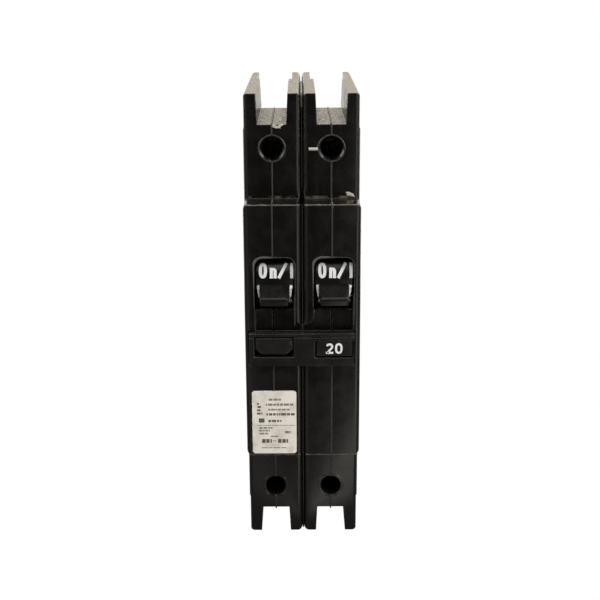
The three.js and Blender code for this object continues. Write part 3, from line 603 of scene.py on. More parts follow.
def as_piece(name: str, shells: list[Shell], smooth: float = 35.0) -> bpy.types.Object:
    """One object from closed shells, with faces pointing out and edges sharper than an angle kept sharp."""
    start = np.cumsum([0] + [len(shell.points) for shell in shells])
    points = np.concatenate([shell.points for shell in shells])
    faces = []
    for shell, offset in zip(shells, start.tolist()):
        faces.extend(tuple(int(index) + offset for index in face) for face in shell.faces)
    data = bpy.data.meshes.new(name)
    data.from_pydata(points.tolist(), [], faces)
    graph = bmesh.new()
    graph.from_mesh(data)
    bmesh.ops.remove_doubles(graph, verts=graph.verts, dist=1e-7)
    bmesh.ops.recalc_face_normals(graph, faces=graph.faces)
    graph.to_mesh(data)
    graph.free()
    data.shade_smooth()
    data.set_sharp_from_angle(angle=math.radians(smooth))
    return placed(name, data)


def grid_cuts(graph: bmesh.types.BMesh) -> None:
    """Cuts a boxy mesh across at every corner's x and z, so that no flat face goes round an opening."""
    for axis in (0, 2):
        normal = [0.0, 0.0, 0.0]
        normal[axis] = 1.0
        for place in sorted({round(corner.co[axis], 6) for corner in graph.verts})[1:-1]:
            point = [0.0, 0.0, 0.0]
            point[axis] = place
            whole = [*graph.verts, *graph.edges, *graph.faces]
            bmesh.ops.bisect_plane(graph, geom=whole, dist=2e-6, plane_co=point, plane_no=normal)


def softened_copy(node: str, width: float, segments: int = 2, gridded: bool = False) -> bpy.types.Object:
    """A copy of a CAD node with its doubles merged, flat triangles joined and its sharp edges bevelled.

    Args:
        node: the CAD node's name.
        width: the bevel's width in metres.
        segments: faces across the bevel.
        gridded: cuts the flat faces of a boxy node into a grid first.

    Returns:
        The new object, at the origin, with its place in its mesh.
    """
    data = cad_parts[node].data.copy()
    graph = bmesh.new()
    graph.from_mesh(data)
    bmesh.ops.remove_doubles(graph, verts=graph.verts, dist=3e-6)
    bmesh.ops.dissolve_limit(graph, angle_limit=math.radians(1.0), verts=graph.verts, edges=graph.edges)
    if gridded:
        grid_cuts(graph)
    graph.to_mesh(data)
    graph.free()
    data.shade_smooth()
    piece = placed(f"{node}_moulded", data)
    bevel = piece.modifiers.new("soft_edges", "BEVEL")
    bevel.width = width
    bevel.segments = segments
    bevel.limit_method = "ANGLE"
    bevel.angle_limit = math.radians(40)
    bevel.use_clamp_overlap = False
    weighted = piece.modifiers.new("flat_faces", "WEIGHTED_NORMAL")
    weighted.weight = 90
    weighted.keep_sharp = True
    return piece


@dataclass
class Paintshop:
    """Builds each finish once and dresses pieces in it."""

    made: dict[str, bpy.types.Material] = field(default_factory=dict)

    def material(self, name: str, finish: Finish) -> bpy.types.Material:
        """A finish's material of this name, built on first use."""
        if name not in self.made:
            self.made[name] = finish.build(name)
        return self.made[name]

    def slot_material(self, slot: Slot) -> bpy.types.Material:
        """The material that a slot has as its own."""
        return self.material(f"finish_{slot.value}", FINISHES[slot])

    def dress(
        self, piece: bpy.types.Object, slot: Slot, body: str, material: bpy.types.Material | None = None
    ) -> None:
        """Gives a piece its finish and its body, and logs it."""
        piece.data.materials.clear()
        piece.data.materials.append(material or self.slot_material(slot))
        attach(piece, body)
        LOG.info("%s on %s", piece.name, body)

    def swap(
        self, node: str, slot: Slot, body: str, width: float, segments: int = 2, gridded: bool = False
    ) -> None:
        """Puts a softened copy in a node's place."""
        piece = softened_copy(node, width, segments, gridded)
        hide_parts(node)
        self.dress(piece, slot, body)

    def dress_node(self, node: str, slot: Slot) -> None:
        """Gives a CAD node that stays its finish."""
        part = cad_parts[node]
        if not part.material_slots:
            part.data.materials.append(None)
        for place in part.material_slots:
            place.link = "OBJECT"
            place.material = self.slot_material(slot)


# Sub-assemblies


@dataclass
class CaseShells:
    """The four half shells, with the beads and flash that are moulded on their front."""

    shop: Paintshop
    edge: float = 0.28 * MM
    window_half: float = 6.5 * MM
    window_low: float = 86.5 * MM
    window_high: float = 103.3 * MM
    window_corner: float = 2.6 * MM
    trough_low: float = 80.5 * MM
    bead: float = 0.42 * MM
    bead_out: float = 0.7
    flash: float = 0.27 * MM
    flash_sunk: float = 0.12 * MM
    pole_inside: float = 0.9 * MM
    seam: float = 0.3 * MM
    seam_depth: float = 1.5 * MM
    seam_ends: float = 0.6 * MM
    dusty_seam_from: float = 150.5 * MM
    dusty_seam_depth: float = 40 * MM
    pole_outside: float = 18.5 * MM
    length: float = 155 * MM
    hole_from_end: float = 17.7 * MM
    rim_radius: float = 4.5 * MM
    ring_radius: float = 4.3 * MM
    line_ring: float = 0.26 * MM
    load_ring: float = 0.15 * MM
    step_from_end: float = 34.2 * MM
    step_lap: float = 0.1 * MM
    fin_root_line: float = 145.1 * MM
    fin_root_load: float = 9.2 * MM
    block_rear: float = FRONT + 54.5 * MM

    @property
    def step_line(self) -> float:
        """Height of the raised face's upper edge."""
        return self.length - self.step_from_end

    @property
    def hole_line(self) -> float:
        """Height of the upper screwdriver holes."""
        return self.length - self.hole_from_end

    def build(self) -> None:
        """Makes the shells and their beads."""
        for name in POLES:
            for part in ("outer", "inner"):
                self.shop.swap(f"{name}_{part}_shell", Slot.CASE, CASE, self.edge)
            self.window_bead(name)
            self.trough_edge(name)
            self.parting_flash(name)
            self.step_bead(name, "line", self.step_line - self.step_lap)
            self.step_bead(name, "load", self.step_from_end + self.step_lap)
            self.hole_ring(name, "line", self.hole_line, self.line_ring)
            self.hole_ring(name, "load", self.hole_from_end, self.load_ring)
        self.pole_seam()
        self.side_rib()
        self.chips_and_glints()

    def moulded(
        self, name: str, shells: list[Shell], finish: MouldedPlastic = FLASH_HIGHLIGHT, tag: str = "flash"
    ) -> None:
        """Adds a small moulded piece in a paler finish than the case; in the flash and edge finishes the
        paleness is a painted highlight.
        """
        material = self.shop.material(f"finish_{tag}", finish)
        self.shop.dress(as_piece(name, shells, 60), Slot.CASE, CASE, material)

    def window_bead(self, name: str) -> None:
        """The bead round a handle window: up the left side, over the corners and down, ever thinner; its pale
        finish is a painted highlight, widest on the left.
        """
        x, out = handle_x(name), self.bead * self.bead_out
        half, turn, top = self.window_half + out, self.window_corner + out, self.window_high + out
        path = np.concatenate([
            [(x - half, self.window_low), (x - half, self.window_low + 4 * MM)],
            arc((x - half + turn, top - turn), turn, 180, 90, 9),
            arc((x + half - turn, top - turn), turn, 90, 0, 9),
            [(x + half, self.window_low + 5 * MM), (x + half, self.window_low)],
        ])
        path = resampled(path, 1 * MM)
        # thickest at the upper left, where the painted highlight is strongest
        stops, swell = [0, 0.15, 0.3, 0.46, 0.52, 1], [0.1, 0.35, 1.0, 0.85, 0.15, 0.1]
        radius = self.bead * np.interp(np.linspace(0, 1, len(path)), stops, swell)
        sections = on_face(swept_bead(path, radius, 0.5), FRONT)
        self.moulded(f"{name}_window_bead", [loft(sections)], EDGE_FLASH_HIGHLIGHT, "edge_flash_highlight")

    def trough_edge(self, name: str) -> None:
        """The rounded edge of the trough's right cheek, from beside the lever down towards the strip; its
        pale finish is a painted highlight.
        """
        x = handle_x(name) + self.window_half
        path = np.array([[x, self.window_low + 4.5 * MM], [x, self.window_low], [x, self.trough_low]])
        path = resampled(path, 1.5 * MM)
        radius = 0.34 * MM * np.interp(np.linspace(0, 1, len(path)), [0, 0.2, 0.7, 1], [0.5, 1, 1, 0.4])
        self.moulded(f"{name}_trough_edge", [loft(on_face(swept_bead(path, radius, 0.8), FRONT))])

    def rod(self, x: float, points: list[tuple[float, float]], radius: float, sunk: float = 0.0) -> Shell:
        """A rod along a path in the plane at x.

        Args:
            x: the plane's place.
            points: the path's corners as (y, z).
            radius: the rod's radius.
            sunk: how far it lies to the right of the path, into the surface that it follows.

        Returns:
            The rod as a closed shell.
        """
        path = resampled(np.array(points), 2.5 * MM)
        bead = swept_bead(path - path_normals(path) * sunk, radius)
        return loft(np.stack([x + bead[..., 2], bead[..., 0], bead[..., 1]], axis=-1))

    def parting_flash(self, name: str) -> None:
        """The flash along a pole's parting line: over the line end, down the front, under the load end; its
        pale finish is a painted highlight along the line.
        """
        rim, lower_rim = self.rim_radius, self.rim_radius * 0.8
        strip_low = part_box("test_bezel")[0].z
        label_low, label_high = (corner.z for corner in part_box("front_label"))
        below_strip = label_low if name == "left" else strip_low
        runs = [
            [
                (self.block_rear, self.fin_root_line),
                (SHOULDER, self.fin_root_line),
                (SHOULDER, self.hole_line + rim),
            ],
            [
                (SHOULDER, self.hole_line - rim),
                (SHOULDER, self.step_line),
                (FRONT, self.step_line),
                (FRONT, self.window_high),
            ],
            [
                (FRONT, below_strip),
                (FRONT, self.step_from_end),
                (SHOULDER, self.step_from_end),
                (SHOULDER, self.hole_from_end + lower_rim),
            ],
            [
                (SHOULDER, self.hole_from_end - lower_rim),
                (SHOULDER, self.fin_root_load),
                (self.block_rear, self.fin_root_load),
            ],
        ]
        if name == "left":
            runs.append([(FRONT, strip_low), (FRONT, label_high)])
        x = POLES[name] * POLE_CENTRE
        shells = [self.rod(x, run, self.flash, self.flash_sunk) for run in runs]
        self.moulded(f"{name}_parting_flash", shells)

    def pole_seam(self) -> None:
        """The dark flash in the slit between the poles, behind their rounded edges; dusty at the top."""
        behind, raised = SHOULDER + self.seam_depth, FRONT + self.seam_depth
        top = self.length - self.seam
        dark = [
            [(behind, self.seam_ends), (behind, self.step_from_end)],
            [(raised, self.step_from_end), (raised, self.step_line)],
            [(behind, self.step_line), (behind, self.dusty_seam_from)],
        ]
        dusty = [[(behind, self.dusty_seam_from), (behind, top), (behind + self.dusty_seam_depth, top)]]
        for part, runs, finish, tag in (
            ("dark", dark, FINISHES[Slot.STRIP], "seam"),
            ("dusty", dusty, DUSTY, "dusty"),
        ):
            shells = [self.rod(0.0, points, self.seam) for points in runs]
            self.moulded(f"pole_seam_{part}", shells, finish, tag)

    def step_bead(self, name: str, end: str, height: float) -> None:
        """The rounded ridge along the upper or lower edge of the raised face, in both shells of a pole; its
        pale finish is a painted highlight along the edge.
        """
        side = POLES[name]
        ends = sorted((side * self.pole_inside, side * self.pole_outside))
        path = np.array([[ends[0], height], [side * POLE_CENTRE, height], [ends[1], height]])
        path = resampled(path, 1.5 * MM)
        uneven = 1 + 0.25 * np.sin(np.arange(len(path)) * 2.3 + side)
        sections = on_face(swept_bead(path, self.flash * uneven), FRONT + self.flash)
        self.moulded(f"{name}_{end}_step_bead", [loft(sections)], EDGE_FLASH_HIGHLIGHT, "edge_flash_highlight")

    def hole_ring(self, name: str, end: str, height: float, thick: float) -> None:
        """The moulded ring round a screwdriver hole: a torus half sunk in the face."""
        turn, small = full_turn(48), full_turn(8)
        radius = self.ring_radius + thick * np.cos(small)[None, :]
        across = POLES[name] * POLE_CENTRE + radius * np.cos(turn)[:, None]
        up = height + radius * np.sin(turn)[:, None]
        depth = np.broadcast_to(SHOULDER + 0.7 * thick * np.sin(small)[None, :], across.shape)
        shells = [ring_shell(np.stack([across, depth, up], axis=-1))]
        piece_name = f"{name}_{end}_hole_ring"
        # the line end's ring takes the pale flash finish, a painted highlight round the hole
        if end == "line":
            self.moulded(piece_name, shells)
        else:
            self.shop.dress(as_piece(piece_name, shells, 60), Slot.CASE, CASE)

    def side_rib(self) -> None:
        """The short rib beside the right pole's upper hole, in the pale finish that paints a highlight on it.
        """
        z = self.hole_line - 0.2 * MM
        end = POLE_CENTRE - self.rim_radius
        path = np.array([[end - 2.9 * MM, z], [end - 1.5 * MM, z], [end + 0.1 * MM, z]])
        sections = on_face(swept_bead(path, 0.5 * MM, 0.7), SHOULDER)
        self.moulded("upper_hole_rib", [loft(sections)], CHIP_AND_GLINT, "chip_and_glint")

    def flake(self, centre: Triple, size: Triple, turn: float) -> Shell:
        """A flat, uneven flake: an oval with a wavy edge, domed towards the front.

        Args:
            centre: its middle.
            size: half width, half height and thickness.
            turn: how far it is turned in the front plane, in degrees.

        Returns:
            The flake as a closed shell.
        """
        angle = full_turn(16)
        wavy = 1 + 0.22 * np.sin(3 * angle + 0.7) + 0.12 * np.sin(5 * angle)
        shrink = np.array([1.0, 1.0, 0.8, 0.35])[:, None]
        across = size[0] * wavy * np.cos(angle) * shrink
        up = size[1] * wavy * np.sin(angle) * shrink
        out = np.broadcast_to(np.array([-1.0, 0.4, 0.85, 1.0])[:, None] * size[2], across.shape)
        cosine, sine = math.cos(math.radians(turn)), math.sin(math.radians(turn))
        x = centre[0] + across * cosine - up * sine
        z = centre[2] + across * sine + up * cosine
        return loft(np.stack([x, centre[1] - out, z], axis=-1))

    def chips_and_glints(self) -> None:
        """Pale chips beside the left parting line on the block's edge, and pale flakes in the corner of the
        step that paint a glint.
        """
        thin, block, step = 0.1 * MM, self.fin_root_line, self.step_line
        flakes = [
            self.flake((-8.7 * MM, SHOULDER, block - 0.6 * MM), (1.7 * MM, 0.5 * MM, thin), -20),
            self.flake((-6.8 * MM, SHOULDER, block - 0.4 * MM), (1.0 * MM, 0.36 * MM, thin), 22),
            # these two flakes in the step's corner are a painted glint
            self.flake((15.6 * MM, SHOULDER, step + 1.5 * MM), (1.2 * MM, 0.6 * MM, thin), -14),
            self.flake((16.6 * MM, SHOULDER, step + 1.0 * MM), (0.7 * MM, 0.4 * MM, thin), -30),
        ]
        self.moulded("pale_chips_and_glints", flakes, CHIP_AND_GLINT, "chip_and_glint")


@dataclass
class Glyphs:
    """Plain strokes for the state legends and the ampere number, in letter heights."""

    height: float
    weight: float

    def bar(self, x: float, low: float = 0.0, high: float = 1.0) -> Ribbon:
        """An upright bar."""
        path = np.array([[x, low], [x, (low + high) / 2], [x, high]])
        return self.inked(path)

    def slash(self, x: float, width: float) -> Ribbon:
        """A slanted bar whose middle line runs from x at the foot to x + width at the top."""
        path = np.array([[x, 0.0], [x + width / 2, 0.5], [x + width, 1.0]])
        return self.inked(path)

    def oval(self, x: float, width: float, height: float = 1.0) -> Ribbon:
        """A narrow ring: a superellipse of power 2.6."""
        angle = full_turn(32)
        cosine, sine = np.cos(angle), np.sin(angle)
        half = np.array([(width - self.weight) / 2, (height - self.weight) / 2])
        power = 2 / 2.6
        path = np.column_stack([
            x + width / 2 + half[0] * np.sign(cosine) * np.abs(cosine) ** power,
            height / 2 + half[1] * np.sign(sine) * np.abs(sine) ** power,
        ])
        return self.inked(path, True)

    def arch(self, x: float, width: float, height: float) -> list[Ribbon]:
        """A small n: a stem, and a second stem that leaves it in a round arch."""
        radius = (width - self.weight) / 2
        left = x + self.weight / 2
        curve = arc((left + radius, height - self.weight / 2 - radius), radius, 180, 0, 9)
        path = np.concatenate([curve, [[left + 2 * radius, 0.0]]])
        return [self.bar(left, 0, height), self.inked(path)]

    def hook(self, x: float, width: float) -> list[Ribbon]:
        """A small f: a stem that hooks over to the right, and a cross bar."""
        radius = width * 0.46
        stem = x + self.weight / 2
        curve = arc((stem + radius, 1 - self.weight / 2 - radius), radius, 180, 60, 9)
        path = np.concatenate([[[stem, 0.0]], curve])
        cross = np.array([[x - 0.05, 0.56], [x + width * 0.4, 0.56], [x + width * 0.8, 0.56]])
        return [self.inked(path), self.inked(cross)]

    def two(self, x: float, width: float) -> list[Ribbon]:
        """A figure two: a bowl, a slope down to the left, and a foot."""
        half = self.weight / 2
        radius = width / 2 - half
        centre = (x + width / 2, 1 - half - radius)
        bowl = arc(centre, radius, 165, -35, 12)
        slope = np.array([[x + half * 1.3, half]])
        foot = np.array([[x, half], [x + width / 2, half], [x + width, half]])
        return [self.inked(np.concatenate([bowl, slope])), self.inked(foot)]

    def inked(self, path: np.ndarray, closed: bool = False) -> Ribbon:
        """A path in letter heights as a thin ribbon in metres."""
        even = path if closed else resampled(path, 0.1)
        return stroke(even * self.height, self.weight * self.height, -0.05 * MM, 0.035 * MM, closed)


def ribbon_shell(points: np.ndarray, closed: bool) -> Shell:
    """A ribbon as a closed shell, looped or with its ends filled."""
    return ring_shell(points) if closed else loft(points)


@dataclass
class HandleSet:
    """Both handles with their printed legends, and the shaft inside them."""

    shop: Paintshop
    radius: float = 9.6 * MM
    half_width: float = 6.3 * MM
    bore: float = 2.0 * MM
    edge: float = 0.55 * MM
    half_arc: float = 105.0
    tilt: float = math.radians(18)
    reach: float = 17.1 * MM
    root: float = 6.5 * MM
    tip_round: float = 0.75 * MM
    lever_half: float = 4.62 * MM
    flare: float = 1.5 * MM
    flare_end: float = 13.6 * MM
    flare_length: float = 4.2 * MM
    tip_half_height: float = 1.5 * MM
    root_extra: float = 0.95 * MM
    lever_corner: float = 0.6 * MM
    legend_height: float = 5.1 * MM
    legend_width: float = 11.1 * MM
    legend_shift: float = 0.45 * MM
    on_angle: float = 22.5
    off_angle: float = -57.0

    def build(self) -> None:
        """Makes both handles and prints their legends."""
        for name in POLES:
            x = handle_x(name)
            handle = as_piece(f"{name}_handle_moulded", [self.drum(x), self.lever(x)], 40)
            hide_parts(f"{name}_handle")
            self.shop.dress(handle, Slot.HANDLE, "handles")
            self.legend(name, x)
        self.shop.dress_node("handle_shaft", Slot.STEEL)

    def drum(self, x: float) -> Shell:
        """The drum: a profile of width and radius with rounded corners, turned about the shaft's axis."""
        w, r, e = self.half_width, self.radius, self.edge
        profile = np.concatenate([
            [(-w, self.bore)],
            arc((-w + e, r - e), e, 180, 90, 5),
            arc((w - e, r - e), e, 90, 0, 5),
            [(w, self.bore)],
        ])
        angle = np.radians(np.linspace(-self.half_arc, self.half_arc, 61))
        across = np.broadcast_to(x + profile[:, 0], (len(angle), len(profile)))
        forward = np.cos(angle)[:, None] * profile[:, 1]
        up = np.sin(angle)[:, None] * profile[:, 1]
        return loft(np.stack([across, PIVOT_Y - forward, PIVOT_Z + up], axis=-1))

    def lever(self, x: float) -> Shell:
        """The lever: rounded rectangles, flared at the drum, the tip rounded by a quarter circle."""
        tip_round = self.tip_round
        body = np.linspace(self.root, self.reach - tip_round, 26)
        quarter = np.linspace(0, math.pi / 2 * 0.97, 7)[1:]
        reach = np.concatenate([body, self.reach - tip_round + tip_round * np.sin(quarter)])
        inset = np.concatenate([np.zeros(len(body)), tip_round * (1 - np.cos(quarter))])
        along = np.clip((reach - self.root) / (self.reach - self.root), 0, 1)
        flare = np.clip((self.flare_end - reach) / self.flare_length, 0, 1) ** 1.7
        half_width = self.lever_half + self.flare * flare - inset
        half_height = self.tip_half_height + self.root_extra * (1 - along) - inset
        corner = np.full(len(reach), self.lever_corner) * (1 - 0.9 * inset / tip_round)
        section = rounded_section(half_width, half_height, corner)
        forward = np.broadcast_to(reach[:, None], section.shape[:2])
        cosine, sine = math.cos(self.tilt), math.sin(self.tilt)
        y = PIVOT_Y - forward * cosine - section[..., 1] * sine
        z = PIVOT_Z - forward * sine + section[..., 1] * cosine
        return loft(np.stack([x + section[..., 0], y, z], axis=-1))

    def legend(self, name: str, x: float) -> None:
        """Prints both state legends on the drum, above and below the lever."""
        glyphs = Glyphs(self.legend_height, 0.2)
        on = [
            glyphs.oval(0.0, 0.52),
            *glyphs.arch(0.70, 0.44, 0.68),
            glyphs.slash(1.27, 0.50),
            glyphs.bar(2.10),
        ]
        off = [
            glyphs.oval(0.0, 0.44),
            *glyphs.hook(0.54, 0.34),
            *glyphs.hook(0.94, 0.34),
            glyphs.slash(1.38, 0.20),
            glyphs.oval(1.72, 0.40),
        ]
        for state, ribbons, angle in (("on", on, self.on_angle), ("off", off, self.off_angle)):
            shells = [self.wrapped(ribbon, closed, x, angle) for ribbon, closed in ribbons]
            ink = self.shop.material("white_ink", WHITE_INK)
            self.shop.dress(as_piece(f"{name}_{state}_legend", shells), Slot.HANDLE, "handles", ink)

    def wrapped(self, ribbon: np.ndarray, closed: bool, x: float, angle: float) -> Shell:
        """A flat ribbon laid round the drum: its height becomes an arc of the same length."""
        across = x + self.legend_shift + ribbon[..., 0] - self.legend_width / 2
        turn = math.radians(angle) + (ribbon[..., 1] - self.legend_height / 2) / self.radius
        radius = self.radius + ribbon[..., 2]
        points = np.stack([across, PIVOT_Y - radius * np.cos(turn), PIVOT_Z + radius * np.sin(turn)], axis=-1)
        return ribbon_shell(points, closed)


@dataclass
class FrontStrip:
    """The strip across both poles, with the test button and the rating insert."""

    shop: Paintshop
    digit_height: float = 3.65 * MM
    digits_width: float = 5.5 * MM
    spring_wire: float = 0.28 * MM
    spring_turns: int = 5
    button_travel: float = 1.8 * MM

    def build(self) -> None:
        """Makes the strip, the button, the insert and its digits."""
        for node, slot, body, width in (
            ("test_bezel", Slot.STRIP, CASE, 0.3 * MM),
            ("test_button", Slot.BUTTON, "test_button", 0.35 * MM),
            ("rating_insert", Slot.INSERT, CASE, 0.2 * MM),
        ):
            self.shop.swap(node, slot, body, width, 3, gridded=True)
        self.digits()
        self.spring()
        self.shop.dress_node("test_switch", Slot.FIBRE)

    def spring(self) -> None:
        """The button's coil spring: a round wire on a helix whose pitch falls to nothing at both ends."""
        low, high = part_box("test_button_spring")
        wire, turns = self.spring_wire, self.spring_turns
        share = np.linspace(0, 1, turns * 24 + 1)
        angle = share * turns * 2 * math.pi
        eased = share - np.sin(2 * math.pi * share) / (2 * math.pi) * 0.7
        depth = low.y + wire + (high.y - low.y - 2 * wire) * eased
        small = full_turn(8)
        coil = (high.x - low.x) / 2 - wire
        radius = coil + wire * np.cos(small)[None, :]
        across = (low.x + high.x) / 2 + radius * np.cos(angle)[:, None]
        up = (low.z + high.z) / 2 + radius * np.sin(angle)[:, None]
        along = depth[:, None] + wire * np.sin(small)[None, :]
        piece = as_piece("test_button_spring_wire", [loft(np.stack([across, along, up], axis=-1))], 60)
        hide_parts("test_button_spring")
        self.shop.dress(piece, Slot.STEEL, CASE)
        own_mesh(piece)

    def digits(self) -> None:
        """Prints the ampere number on the rating insert."""
        low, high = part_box("rating_insert")
        glyphs = Glyphs(self.digit_height, 0.19)
        ribbons = [*glyphs.two(0.0, 0.66), glyphs.oval(0.82, 0.68)]
        left = (low.x + high.x) / 2 - self.digits_width / 2 - 0.1 * MM
        bottom = (low.z + high.z) / 2 - self.digit_height / 2 + 0.1 * MM
        shells = []
        for ribbon, closed in ribbons:
            across, up, out = np.moveaxis(ribbon, -1, 0)
            points = np.stack([left + across, low.y - out, bottom + up], axis=-1)
            shells.append(ribbon_shell(points, closed))
        ink = self.shop.material("white_ink", WHITE_INK)
        self.shop.dress(as_piece("rating_digits", shells), Slot.INSERT, CASE, ink)


@dataclass(frozen=True)
class PrintLine:
    """One line of the label's print, in millimetres from the label's top left corner."""

    below_top: float
    start: float
    end: float
    tall: float = 0.42
    word: tuple[float, float] = (0.5, 1.7)


FINE_PRINT = (
    PrintLine(3.1, 5.6, 10.0, 0.7),
    PrintLine(4.9, 4.6, 13.9, 0.75),
    PrintLine(6.7, 5.4, 12.6, 0.6),
    PrintLine(12.4, 1.6, 14.3, 0.22, (1.5, 3.5)),
    PrintLine(13.3, 2.3, 6.8, 0.6),
    PrintLine(14.3, 2.3, 5.9, 0.6),
    PrintLine(15.4, 2.3, 5.2, 0.55),
    PrintLine(14.9, 11.0, 12.9, 0.9),
    PrintLine(16.4, 6.2, 8.6, 0.5),
    PrintLine(18.1, 6.9, 8.0, 0.3),
    PrintLine(20.6, 3.0, 11.8, 0.3, (1.0, 2.4)),
)
BOLD_PRINT = (
    PrintLine(4.6, 1.6, 2.9, 0.6),
    PrintLine(5.7, 1.8, 3.1, 0.7),
    PrintLine(6.9, 1.6, 2.8, 0.6),
    PrintLine(8.1, 1.6, 3.4, 0.7),
    PrintLine(8.4, 4.8, 14.3, 0.8),
    PrintLine(10.6, 2.2, 4.1, 1.5, (2.5, 3.0)),
    PrintLine(10.8, 5.4, 9.9, 0.8),
    PrintLine(18.1, 3.2, 6.5, 1.4, (0.95, 1.25)),
    PrintLine(18.1, 8.6, 12.0, 1.4, (0.95, 1.25)),
)


@dataclass
class FrontLabel:
    """The cream label and its print, which is plain bars in place of words."""

    shop: Paintshop
    corner: float = 1.0 * MM
    seed: int = 7

    def build(self) -> None:
        """Makes the label and its print."""
        low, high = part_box("front_label")
        self.sheet(low, high)
        self.print_bars(low, high)

    def sheet(self, low: Vector, high: Vector) -> None:
        """The label: rounded rectangles stacked through its thickness, with its front edge eased."""
        half = np.array([(high.x - low.x) / 2, (high.z - low.z) / 2])
        depth = np.array([high.y, low.y + 0.06 * MM, low.y, low.y])
        inset = np.array([0, 0, 0.06, 0.5]) * MM
        section = rounded_section(half[0] - inset, half[1] - inset, self.corner - inset, 8)
        across = (low.x + high.x) / 2 + section[..., 0]
        up = (low.z + high.z) / 2 + section[..., 1]
        back = np.broadcast_to(depth[:, None], across.shape)
        piece = as_piece("front_label_sheet", [loft(np.stack([across, back, up], axis=-1))])
        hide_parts("front_label")
        self.shop.dress(piece, Slot.LABEL, CASE)

    def bar(self, x0: float, x1: float, z0: float, z1: float, y: float) -> Shell:
        """One printed bar, a thin slab just proud of the label."""
        ring = np.array([[x0, z0], [x1, z0], [x1, z1], [x0, z1]])
        depth = np.array([y + 0.03 * MM, y - 0.012 * MM])
        sections = np.stack([np.column_stack([ring[:, 0], np.full(4, d), ring[:, 1]]) for d in depth])
        return loft(sections)

    def words(
        self, rng: np.random.Generator, line: PrintLine, left: float, top: float, y: float
    ) -> list[Shell]:
        """One line of words as bars of uneven length with small gaps between them."""
        shells = []
        x, end = left + line.start * MM, left + line.end * MM
        z = top - line.below_top * MM
        while x < end - 0.3 * MM:
            stop = min(x + rng.uniform(*line.word) * MM, end)
            shells.append(self.bar(x, stop, z - line.tall * MM / 2, z + line.tall * MM / 2, y))
            x = stop + rng.uniform(0.20, 0.34) * MM
        return shells

    def print_bars(self, low: Vector, high: Vector) -> None:
        """The whole print, grey lines first and then the bold ones."""
        rng = np.random.default_rng(self.seed)
        for name, ink, lines in (("fine", GREY_INK, FINE_PRINT), ("bold", BLACK_INK, BOLD_PRINT)):
            shells = [shell for line in lines for shell in self.words(rng, line, low.x, high.z, low.y)]
            piece = as_piece(f"front_label_{name}_print", shells)
            self.shop.dress(piece, Slot.LABEL, CASE, self.shop.material(f"{name}_ink", ink))


@dataclass
class Terminals:
    """Lugs, lug screws, rail latches and rivets."""

    shop: Paintshop
    lug_edge: float = 0.4 * MM
    screw_edge: float = 0.25 * MM
    latch_edge: float = 0.25 * MM
    rivet_edge: float = 0.3 * MM

    def build(self) -> None:
        """Softens the lugs, screws, rivets and rail latches, which show at the ends and sides."""
        for name in POLES:
            for end in ("line", "load"):
                self.shop.swap(f"{name}_{end}_lug", Slot.LUG, CASE, self.lug_edge)
                self.shop.swap(f"{name}_{end}_screw", Slot.ZINC, CASE, self.screw_edge)
            self.shop.swap(f"{name}_rail_latch", Slot.LATCH, f"{name}_latch", self.latch_edge)
        for number in range(1, 7):
            self.shop.swap(f"rivet_{number}", Slot.STEEL, CASE, self.rivet_edge)


@dataclass
class InnerWorks:
    """The pieces inside the case, which keep their CAD shape."""

    shop: Paintshop
    per_pole: dict[str, Slot] = field(default_factory=lambda: {
        "line_strap": Slot.COPPER,
        "load_strap": Slot.COPPER,
        "fixed_contact": Slot.SILVER,
        "moving_contact": Slot.SILVER,
        "contact_arm": Slot.COPPER,
        "arm_pin": Slot.STEEL,
        "arc_chute": Slot.STEEL,
        "bimetal": Slot.ZINC,
        "magnet_yoke": Slot.STEEL,
        "armature": Slot.STEEL,
        "braid": Slot.COPPER,
        "load_wire": Slot.JACKET,
    })
    shared: dict[str, Slot] = field(default_factory=lambda: {
        "trip_bar": Slot.FIBRE,
        "circuit_board": Slot.BOARD,
        "current_transformer": Slot.WINDING,
        "solenoid": Slot.WINDING,
        "plunger": Slot.STEEL,
    })

    def build(self) -> None:
        """Dresses each inner node."""
        for part, slot in self.per_pole.items():
            for name in POLES:
                self.shop.dress_node(f"{name}_{part}", slot)
        for node, slot in self.shared.items():
            self.shop.dress_node(node, slot)


# Stage


@dataclass(frozen=True)
class Glow:
    """A sheet's light: white to the eye, and another tint and strength to every other ray."""

    strength: float
    tint: Triple = (1.0, 0.95, 0.88)

    def pattern(self, sketch: NodeSketch) -> Socket:
        """The strength for rays other than the eye's."""
        value = sketch.add("Value")
        value.outputs[0].default_value = self.strength
        return value.outputs[0]

    def build(self, name: str) -> bpy.types.Material:
        """The sheet's material."""
        sketch = NodeSketch(name)
        emission = sketch.add("Emission")
        eye = sketch.add("LightPath").outputs["Is Camera Ray"]
        sketch.link(sketch.blend(eye, self.tint, (1, 1, 1)), emission.inputs["Color"])
        level = sketch.add("Mix")
        level.inputs["B"].default_value = 1.0
        sketch.link(eye, level.inputs["Factor"])
        sketch.link(self.pattern(sketch), level.inputs["A"])
        sketch.link(level.outputs["Result"], emission.inputs["Strength"])
        sketch.link(emission.outputs["Emission"], sketch.output.inputs["Surface"])
        return sketch.material


